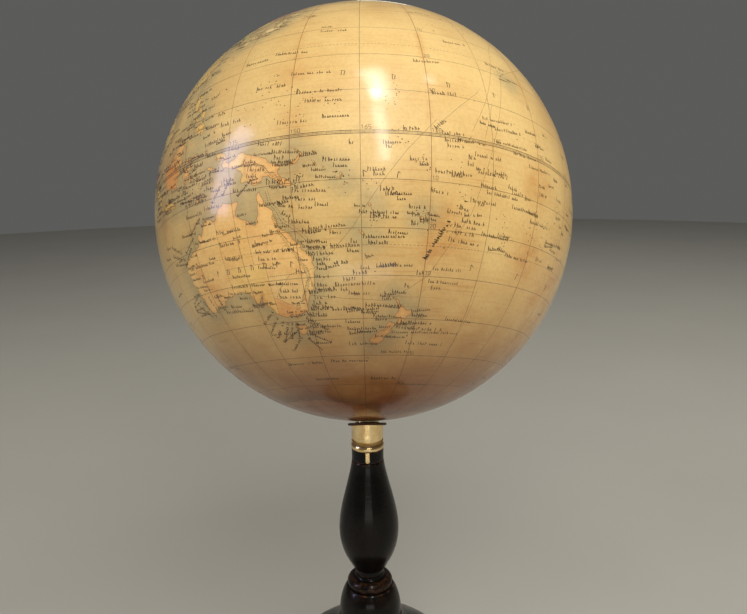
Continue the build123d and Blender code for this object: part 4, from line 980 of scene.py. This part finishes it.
def brassFinish():
    finish, tree, shader, place = newFinish("agedBrass", Metallic=1.0)
    crevice = carried(tree, "crevice")
    cloud = grain(tree, place, 240, 5, 0.65)
    base = blended(tree, ramp(tree, cloud, 0.3, 0.75), tone(255, 230, 176), tone(240, 200, 134))
    tarnish = maths(tree, "MAXIMUM", times(tree, crevice, 0.85),
                    ramp(tree, grain(tree, place, 420, 6, 0.7), 0.6, 0.78, 0, 0.7))
    base = blended(tree, tarnish, base, tone(98, 66, 30))
    lines = grain(tree, stretched(tree, place, 0.03, 0.03, 1), 3200, 2)
    scratch = grain(tree, stretched(tree, place, 1, 0.06, 1), 2600, 2)
    relief = maths(tree, "MULTIPLY_ADD", scratch, 0.35, lines)
    rough = maths(tree, "MULTIPLY_ADD", tarnish, 0.3, ramp(tree, cloud, 0.3, 0.8, 0.15, 0.27))
    wire(tree, shader, Base_Color=base, Roughness=rough, Normal=bumped(tree, relief, 0.0001))
    return finish


def steelFinish():
    finish, tree, shader, place = newFinish("turnedSteel", Metallic=1.0)
    cloud = grain(tree, place, 300, 5)
    base = blended(tree, ramp(tree, cloud, 0.4, 0.8), tone(188, 186, 182), tone(120, 112, 104))
    lines = grain(tree, stretched(tree, place, 0.04, 0.04, 1), 2800, 2)
    wire(tree, shader, Base_Color=base, Roughness=ramp(tree, cloud, 0.3, 0.8, 0.25, 0.45),
         Normal=bumped(tree, lines, 0.00003))
    return finish


def leatherFinish():
    finish, tree, shader, place = newFinish("oiledLeather", Specular_IOR_Level=0.35)
    cells = addNode(tree, "ShaderNodeTexVoronoi", {"Vector": place, "Scale": 1500.0},
                    feature="DISTANCE_TO_EDGE")
    creases = ramp(tree, cells.outputs["Distance"], 0.0, 0.2)
    cloud = grain(tree, place, 260, 5, 0.65)
    base = blended(tree, ramp(tree, cloud, 0.3, 0.75), tone(96, 62, 36), tone(56, 35, 20))
    base = blended(tree, maths(tree, "SUBTRACT", 1.0, creases), base, tone(34, 22, 14))
    wire(tree, shader, Base_Color=base, Roughness=ramp(tree, cloud, 0.3, 0.8, 0.45, 0.7),
         Normal=bumped(tree, creases, 0.00008))
    return finish


def clothFinish(name, light, dark, threads):
    finish, tree, shader, place = newFinish(
        name, Roughness=0.92, Specular_IOR_Level=0.2, Sheen_Weight=0.5, Sheen_Roughness=0.5)
    warp = addNode(tree, "ShaderNodeTexWave", {"Vector": place, "Scale": threads},
                   bands_direction="X").outputs[1]
    weft = addNode(tree, "ShaderNodeTexWave", {"Vector": place, "Scale": threads},
                   bands_direction="Y").outputs[1]
    fuzz = grain(tree, place, 1800, 4, 0.7)
    weave = times(tree, warp, weft)
    base = blended(tree, ramp(tree, maths(tree, "MULTIPLY_ADD", weave, 0.5, fuzz), 0.3, 1.1), dark,
                   light)
    wire(tree, shader, Base_Color=base,
         Normal=bumped(tree, maths(tree, "ADD", weave, fuzz), 0.00015))
    return finish


def roughFinish(name, light, dark, scale, roughness, depth, metallic=0.0, stretch=(1, 1, 1)):
    finish, tree, shader, place = newFinish(name, Metallic=metallic, Specular_IOR_Level=0.35)
    place = stretched(tree, place, *stretch)
    cloud, fine = grain(tree, place, scale, 6, 0.65), grain(tree, place, scale * 9, 4, 0.7)
    base = blended(tree, ramp(tree, cloud, 0.3, 0.72), light, dark)
    base = blended(tree, ramp(tree, fine, 0.5, 0.8, 0, 0.5), base, dark)
    wire(tree, shader, Base_Color=base,
         Roughness=ramp(tree, fine, 0.3, 0.8, roughness, min(roughness + 0.2, 1)),
         Normal=bumped(tree, maths(tree, "MULTIPLY_ADD", cloud, 0.5, fine), depth))
    return finish


finishes = {
    "map_paper": varnishedMap, "ebonised_wood": ebonyFinish(), "brass": brassFinish(),
    "steel": steelFinish(),
    "leather": leatherFinish(),
    "baize": clothFinish("greenBaize", tone(62, 92, 58), tone(28, 48, 30), 700.0),
    "cast_iron": roughFinish("blackedIron", tone(70, 68, 66), tone(34, 31, 29), 90, 0.55, 0.0003,
                             0.8),
    "pulp_board": roughFinish("paperPulp", tone(178, 164, 138), tone(128, 112, 88), 120, 0.85,
                              0.0003),
    "plaster": roughFinish("gesso", tone(228, 220, 202), tone(196, 184, 160), 60, 0.7, 0.0001),
    "linen": clothFinish("linenTape", tone(206, 194, 166), tone(150, 136, 108), 900.0),
    "bare_wood": roughFinish("deal", tone(206, 168, 116), tone(158, 116, 70), 40, 0.6, 0.0002, 0.0,
                             (1, 1, 0.1)),
}
slotNames = [m.get("slot") for m in frame["record"]["materials"]]
for name, node in frame["nodes"].items():
    for slot in node.material_slots:
        found = [s for s in slotNames if slot.material and slot.material.name.startswith(s)]
        slot.material = finishes[max(found, key=len) if found else "brass"]
print("stage 6: finishes mixed")


# turned pieces: an outline of radius and height in millimetres, listed from the top down

def throughArc(start, middle, end, count=14):
    (ax, ay), (bx, by), (cx, cy) = start, middle, end
    aa, bb, cc = ax**2 + ay**2, bx**2 + by**2, cx**2 + cy**2
    scale = 2 * (ax * (by - cy) + bx * (cy - ay) + cx * (ay - by))
    ux = (aa * (by - cy) + bb * (cy - ay) + cc * (ay - by)) / scale
    uy = (aa * (cx - bx) + bb * (ax - cx) + cc * (bx - ax)) / scale
    radius = math.hypot(ax - ux, ay - uy)
    first, half, last = (math.atan2(y - uy, x - ux) for x, y in (start, middle, end))
    span = (last - first) % (2 * math.pi)
    if (half - first) % (2 * math.pi) > span:
        span -= 2 * math.pi
    turns = [first + span * k / count for k in range(count + 1)]
    return [(ux + radius * math.cos(turn), uy + radius * math.sin(turn)) for turn in turns]


def throughPoints(points, startWay, endWay, count=14):
    # a smooth curve through the points, leaving and arriving in the given directions
    points = np.array(points, float)
    gaps = np.linalg.norm(np.diff(points, axis=0), axis=1)
    size = len(points)
    matrix, wanted = np.zeros((size, size)), np.zeros((size, 2))
    matrix[0, 0] = matrix[-1, -1] = 1
    wanted[0] = np.array(startWay) / np.linalg.norm(startWay)
    wanted[-1] = np.array(endWay) / np.linalg.norm(endWay)
    for k in range(1, size - 1):
        before, after = gaps[k - 1], gaps[k]
        matrix[k, k - 1:k + 2] = after, 2 * (before + after), before
        wanted[k] = 3 * (after * (points[k] - points[k - 1]) / before
                         + before * (points[k + 1] - points[k]) / after)
    slopes = np.linalg.solve(matrix, wanted)
    line = []
    for k in range(size - 1):
        for t in np.linspace(0, 1, count, endpoint=False):
            leaving = (t**3 - 2 * t**2 + t) * gaps[k] * slopes[k]
            arriving = (t**3 - t**2) * gaps[k] * slopes[k + 1]
            line.append(tuple((2 * t**3 - 3 * t**2 + 1) * points[k] + leaving
                              + (3 * t**2 - 2 * t**3) * points[k + 1] + arriving))
    return line + [tuple(points[-1])]


def resampled(outline, longest):
    line = [outline[0]]
    for point in outline[1:]:
        last = line[-1]
        length = math.hypot(point[0] - last[0], point[1] - last[1])
        if length < 1e-4:
            continue
        count = math.ceil(length / longest)
        line += [(last[0] + (point[0] - last[0]) * k / count,
                  last[1] + (point[1] - last[1]) * k / count) for k in range(1, count + 1)]
    return np.array(line)


weldReach = 0.000002  # metres


def turnedPiece(name, outline, slot, replaced, around, longest, place=None, slant=None):
    line = resampled(outline, longest)
    steps = np.diff(line, axis=0)
    steps = np.concatenate([steps[:1], steps, steps[-1:]])
    bend = steps[:-1, 0] * steps[1:, 1] - steps[:-1, 1] * steps[1:, 0]
    reach = np.linalg.norm(steps, axis=1)
    bend /= np.maximum(reach[:-1] * reach[1:] * (reach[:-1] + reach[1:]) / 2, 1e-9)  # per mm
    angles = np.linspace(0, 2 * math.pi, around + 1)
    radius, height = line.T / 1000
    points = np.stack([radius[:, None] * np.cos(angles), radius[:, None] * np.sin(angles),
                       np.repeat(height[:, None], around + 1, 1)], -1)
    if slant is not None:
        points = slant(points)
    if place is not None:
        points = points @ np.array(place.to_3x3()).T + np.array(place.translation)
    spread = np.ones((1, around + 1))
    extras = {"edgeWear": np.clip(-bend, 0, 1)[:, None] * spread,
              "crevice": np.clip(bend, 0, 1)[:, None] * spread}
    piece = gridPiece(name, points[:, ::-1], extras, finishes[slot], "stand")
    welded = piece.modifiers.new("weld", "WELD")
    welded.merge_threshold = weldReach
    if replaced:
        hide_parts(*replaced)


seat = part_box("foot")[1].z * 1000  # between foot and column

foot = {
    "radius": 68.5, "edge": 67.0, "underside": 1.0,
    "seat": 17.9, "seatChamfer": 0.6, "seatFillet": 1.4,
    "dome": [(24.4, 50.7), (40.3, 39.05), (55.8, 22.9), (61.0, 11.5)],
    "domeLeaves": (0.3, -1), "domeArrives": (0.12, -1), "domeFoot": 61.0,
    "rim": 10.6, "rimRound": 5, "rimShoulder": (0.9, 2.1),
    "around": 192, "longest": 0.8,
}
rimInner, rimLow = foot["radius"] - foot["rimRound"], foot["rim"] - foot["rimRound"]
rimShoulder = foot["radius"] - foot["rimShoulder"][0], foot["rim"] - foot["rimShoulder"][1]
turnedPiece("foot_turning",
            [(0, seat), (foot["seat"] - foot["seatChamfer"], seat),
             (foot["seat"], seat - foot["seatChamfer"]), (foot["seat"], seat - foot["seatFillet"])]
            + throughPoints([(foot["seat"], seat - foot["seatFillet"]), *foot["dome"]],
                            foot["domeLeaves"], foot["domeArrives"])
            + [(foot["domeFoot"], foot["rim"]), (rimInner, foot["rim"])]
            + throughArc((rimInner, foot["rim"]), rimShoulder, (foot["radius"], rimLow))
            + [(foot["edge"], foot["underside"]), (0, foot["underside"])],
            "ebonised_wood", ["foot"], foot["around"], foot["longest"])

baize = {
    "outline": [(0, 1.0), (65.2, 1.0), (65.5, 0.7), (65.5, 0.25), (65.15, 0.0), (0, 0.0)],
    "around": 192, "longest": 2.0,
}
turnedPiece("baize_disc", baize["outline"], "baize", ["baize_pad"], baize["around"], baize["longest"])

column = {
    "length": 101.1, "peg": 7.15, "pegHeight": 5.2, "neck": 8.6,
    "groove": [(8.6, 154.1), (8.25, 153.6)],
    "vase": [(8.7, 153.1), (10.4, 144.2), (13.05, 133.6), (16.4, 112.5), (13.5, 98.2), (9.4, 90.2)],
    "vaseLeaves": (0.1, -1), "vaseArrives": (-0.5, -1), "vasePoints": 18,
    "waist": [(8.8, 89.3), (7.9, 89.0)],
    "hollow": [(7.9, 86), (8.3, 84.1), (9.5, 83.6)],
    "collar": [(9.5, 83.6), (12.5, 81.0), (12.3, 78.8)],
    "bell": [(11.9, 78.3), (13.1, 77.8), (16.1, 71.2), (17.3, 63)],
    "bellFoot": 16.9, "bellLeaves": (0.75, -1), "bellArrives": (-0.25, -1),
    "tenon": 8.0, "tenonLength": 22,
    "around": 144, "longest": 0.6,
}
neckTop = seat + column["length"]
pegTop, tenonEnd = neckTop + column["pegHeight"], seat - column["tenonLength"]
turnedPiece("column_turning",
            [(0, pegTop), (column["peg"], pegTop), (column["peg"], neckTop),
             (column["neck"], neckTop), *column["groove"]]
            + throughPoints(column["vase"], column["vaseLeaves"], column["vaseArrives"],
                            column["vasePoints"])
            + column["waist"] + throughArc(*column["hollow"]) + throughArc(*column["collar"])
            + column["bell"][:1]
            + throughPoints([*column["bell"][1:], (column["bellFoot"], seat)],
                            column["bellLeaves"], column["bellArrives"])
            + [(column["tenon"], seat), (column["tenon"], tenonEnd), (0, tenonEnd)],
            "ebonised_wood", ["column"], column["around"], column["longest"])

# the ferrule's heights are above its foot, but for its top, which is cut square before it slants
ferrule = {
    "clearance": 0.05, "radius": 8.5, "bore": 3.05, "socket": (7.2, 5.3),
    "top": 180.0, "lip": (8.25, 179.6), "boreEnd": 179,
    "groove": [(8.5, 5.9), (7.9, 5.6), (7.9, 4.9)],
    "upperRing": [(8.5, 4.6), (8.1, 3.68), (8.5, 2.85)],
    "lowerBead": [(8.5, 2.85), (9.0, 1.38), (8.3, 0)],
    "slantFrom": 0.16605, "slantTo": 0.18,
    "belowCentre": 116.355,  # how far the slanted top lies below the globe's centre
    "around": 128, "longest": 0.4,
}
ferruleFoot = neckTop + ferrule["clearance"]


def aboveFerruleFoot(name):
    return [(radius, ferruleFoot + height) for radius, height in ferrule[name]]


def slantedTop(points):
    # heights above the groove stretch up to the plane that the leather washer lies on
    axis, low, high = globe["axis"], ferrule["slantFrom"], ferrule["slantTo"]
    onPlane = globe["centre"] - axis * ferrule["belowCentre"] / 1000
    plane = onPlane[2] - (points[..., 1] - onPlane[1]) * axis[1] / axis[2]
    share = np.clip((points[..., 2] - low) / (high - low), 0, None)
    out = points.copy()
    out[..., 2] = np.where(share > 0, low + share * (plane - low), points[..., 2])
    return out


turnedPiece("ferrule_turning",
            [(ferrule["bore"], ferrule["boreEnd"]), (ferrule["bore"], ferrule["top"]),
             (ferrule["lip"][0], ferrule["top"]), (ferrule["radius"], ferrule["lip"][1]),
             *aboveFerruleFoot("groove")]
            + throughArc(*aboveFerruleFoot("upperRing"))
            + throughArc(*aboveFerruleFoot("lowerBead"))
            + [(ferrule["socket"][0], ferruleFoot),
               (ferrule["socket"][0], ferruleFoot + ferrule["socket"][1])],
            "brass", ["ferrule"], ferrule["around"], ferrule["longest"], slant=slantedTop)

tongue = {
    "halfWidth": 1.25, "top": neckTop + 0.4, "bottom": 154.3, "neck": 8.58, "thickness": 0.5,
    "roundedEdge": 0.4, "down": 41, "across": 25,
    "pin": 0.6, "pinShoulder": 0.72, "pinRise": (0.32, 0.22), "pinRoot": -0.2, "pinSunk": 0.03,
    "pinHeight": 0.1555, "pinPoints": 10, "pinAround": 32, "pinLongest": 0.1,
}


def tongueStrap():
    # the small strap that runs down the neck from the ferrule, with a rounded end and one pin
    down = np.linspace(0, 1, tongue["down"])[:, None]
    across = np.linspace(-1, 1, tongue["across"])[None, :]
    length = tongue["top"] - tongue["bottom"]
    fromEnd = (1 - down) * length
    inEnd = np.clip(1 - fromEnd / tongue["halfWidth"], 0, 1)
    halfWidth = tongue["halfWidth"] * np.sqrt(np.clip(1 - inEnd**2, 0.0004, 1))
    side = across * halfWidth
    edge = np.minimum(halfWidth - np.abs(side), fromEnd)
    rise = np.sin(np.clip(edge / tongue["roundedEdge"], 0, 1) * math.pi / 2)
    radius = (tongue["neck"] + tongue["thickness"] * rise) / 1000
    turn = side / tongue["neck"]
    height = (tongue["top"] - down * length) / 1000 + 0 * side
    points = np.stack([radius * np.sin(turn), -radius * np.cos(turn), height], -1)
    extras = {"edgeWear": 1 - rise, "crevice": np.clip(0.4 - rise, 0, 1)}
    gridPiece("ferrule_tongue", points[::-1], extras, finishes["brass"], "stand")


tongueStrap()
pinFace = tongue["neck"] + tongue["thickness"] - tongue["pinSunk"]
pinPlace = (Matrix.Translation((0, -pinFace / 1000, tongue["pinHeight"]))
            @ Matrix.Rotation(math.radians(90), 4, "X"))
pinCrown = throughArc((0, tongue["pinRise"][0]),
                      (tongue["pin"] * tongue["pinShoulder"], tongue["pinRise"][1]),
                      (tongue["pin"], 0.0), tongue["pinPoints"])
turnedPiece("tongue_pin", pinCrown + [(tongue["pin"], tongue["pinRoot"])], "brass", [],
            tongue["pinAround"], tongue["pinLongest"], pinPlace)

# the washer and the nut lie on the globe's axis, at heights from its centre
upright = Vector(spin["axis"]).rotation_difference(Vector((0, 0, 1)))
onAxis = Matrix.Translation(Vector(spin["pos_m"])) @ upright.inverted().to_matrix().to_4x4()

washer = {
    "bore": 3.05, "edge": [(10.0, -115.155), (10.4, -115.755), (10.0, -116.355)],
    "around": 96, "longest": 0.4,
}
washerTop, washerFoot = ((washer["bore"], washer["edge"][k][1]) for k in (0, 2))
turnedPiece("washer_disc",
            [washerTop, washer["edge"][0]] + throughArc(*washer["edge"]) + [washerFoot, washerTop],
            "leather", ["leather_washer"], washer["around"], washer["longest"], onAxis)

nut = {
    "seat": 115.955, "acorn": [(0, 10.5), (2.07, 8.6), (4.14, 5.2), (3.31, 3.0)],
    "acornLeaves": (1, -0.15), "acornArrives": (-0.6, -1),
    "base": [(4.6, 2.4), (4.6, 0), (2.25, 0), (2.25, 6.4), (0, 6.4)],
    "around": 96, "longest": 0.3,
}
acorn, nutBase = ([(radius, nut["seat"] + height) for radius, height in nut[k]]
                  for k in ("acorn", "base"))
turnedPiece("acorn_nut", throughPoints(acorn, nut["acornLeaves"], nut["acornArrives"]) + nutBase,
            "brass", ["finial"], nut["around"], nut["longest"], onAxis)
print("stage 7: stand turned")


# studio

def softLamp(name, azimuth, elevation, distance, width, height, power, colour):
    # azimuth runs from the viewer's side towards the right
    lamp = bpy.data.lights.new(name, "AREA")
    lamp.shape, lamp.size, lamp.size_y = "RECTANGLE", width, height
    lamp.energy, lamp.color = power, colour
    made = placed(name, lamp)
    made.visible_camera = False
    azimuth, elevation = math.radians(azimuth), math.radians(elevation)
    way = Vector((math.sin(azimuth) * math.cos(elevation), -math.cos(azimuth) * math.cos(elevation),
                  math.sin(elevation)))
    made.location = Vector(spin["pos_m"]) + way * distance
    made.rotation_euler = way.to_track_quat("Z", "Y").to_euler()
    return made


# lamps: azimuth, elevation, distance, width, height, power and colour
warm, pale = (1.0, 0.96, 0.88), (1.0, 0.98, 0.9)
panels = {
    "skyPanel": (18, 47, 1.6, 1.7, 1.7, 32, warm),
    "sideLeft": (-65, 36, 1.6, 1.0, 1.0, 7, (1.0, 0.97, 0.92)),
    "sideRight": (82, 36, 1.6, 1.0, 1.0, 8, warm),
    "roomFill": (155, 50, 2.2, 1.6, 1.6, 5.5, (1.0, 0.97, 0.92)),
}
reflections = {
    "stripCore": (20, 71, 1.45, 0.22, 0.5, 2.7, (1.0, 0.99, 0.95)),
    "stripLine": (20, 70, 1.4, 0.05, 0.3, 0.6, (1.0, 1.0, 0.96)),
    "glint": (14, 66, 1.4, 0.05, 0.1, 1.0, (1.0, 0.9, 0.78)),
    "stripTail": (12, 46, 1.45, 0.13, 0.7, 3.2, pale),
    "stripFoot": (6, 24, 1.45, 0.1, 0.6, 0.22, pale),
    "lowCard": (0, -18, 0.58, 0.26, 0.08, 0.13, (1.0, 0.97, 0.9)),
    "smallLamp": (75, 63, 1.5, 0.1, 0.1, 0.25, pale),
    "windowLeft": (-75, 21, 1.3, 0.26, 0.8, 4.6, (0.68, 0.66, 1.0)),
    "backStrip": (178, 12, 1.6, 0.16, 0.5, 0.5, (1.0, 0.98, 0.94)),
}
for name, lamp in panels.items():  # these light, and leave no glare on the varnish
    softLamp(name, *lamp).visible_glossy = False
for name, lamp in reflections.items():  # these are only seen mirrored in the varnish
    softLamp(name, *lamp).visible_diffuse = False

studio = {
    "floorRings": (0.0, 0.1, 0.4, 1.2, 3.0), "floorSides": 96,
    "floorTone": tone(172, 170, 163), "floorShade": tone(164, 162, 155),
    "air": tone(168, 168, 165), "strength": 0.27,
}
sides = studio["floorSides"]
floorAngles = np.linspace(0, 2 * math.pi, sides + 1)
floorPoints = [(r * math.cos(a), r * math.sin(a), 0.0)
               for r in studio["floorRings"] for a in floorAngles[:-1]]
floorFaces = [(r * sides + k, (r + 1) * sides + k,
               (r + 1) * sides + (k + 1) % sides, r * sides + (k + 1) % sides)
              for r in range(len(studio["floorRings"]) - 1) for k in range(sides)]
floorMesh = bpy.data.meshes.new("floor")
floorMesh.from_pydata(floorPoints, [], floorFaces)
floor = placed("floor", floorMesh)
floorFinish, floorTree, floorShader, floorPlace = newFinish("paleTable", Roughness=0.6)
floorColour = blended(floorTree, grain(floorTree, floorPlace, 6, 4),
                      studio["floorTone"], studio["floorShade"])
wire(floorTree, floorShader, Base_Color=floorColour)
floorMesh.materials.append(floorFinish)

world = bpy.data.worlds.new("studioAir")
bpy.context.scene.world = world
world.use_nodes = True
world.node_tree.nodes["Background"].inputs[0].default_value = studio["air"]
world.node_tree.nodes["Background"].inputs[1].default_value = studio["strength"]
bpy.context.scene.view_settings.view_transform = "Standard"
bpy.context.scene.view_settings.look = "None"

eye = {
    "place": (0.0044, -0.3559, 0.3166), "pitch": 77.48, "roll": -0.9,
    "lens": 33.99, "sensor": 36.0, "nearest": 0.01,
}
camera = bpy.data.cameras.new("eye")
camera.lens, camera.sensor_width, camera.clip_start = eye["lens"], eye["sensor"], eye["nearest"]
cameraObject = placed("eye", camera)
cameraObject.matrix_world = (Matrix.Translation(eye["place"])
                             @ Matrix.Rotation(math.radians(eye["pitch"]), 4, "X")
                             @ Matrix.Rotation(math.radians(eye["roll"]), 4, "Z"))
bpy.context.scene.camera = cameraObject
print("stage 8: studio lit")
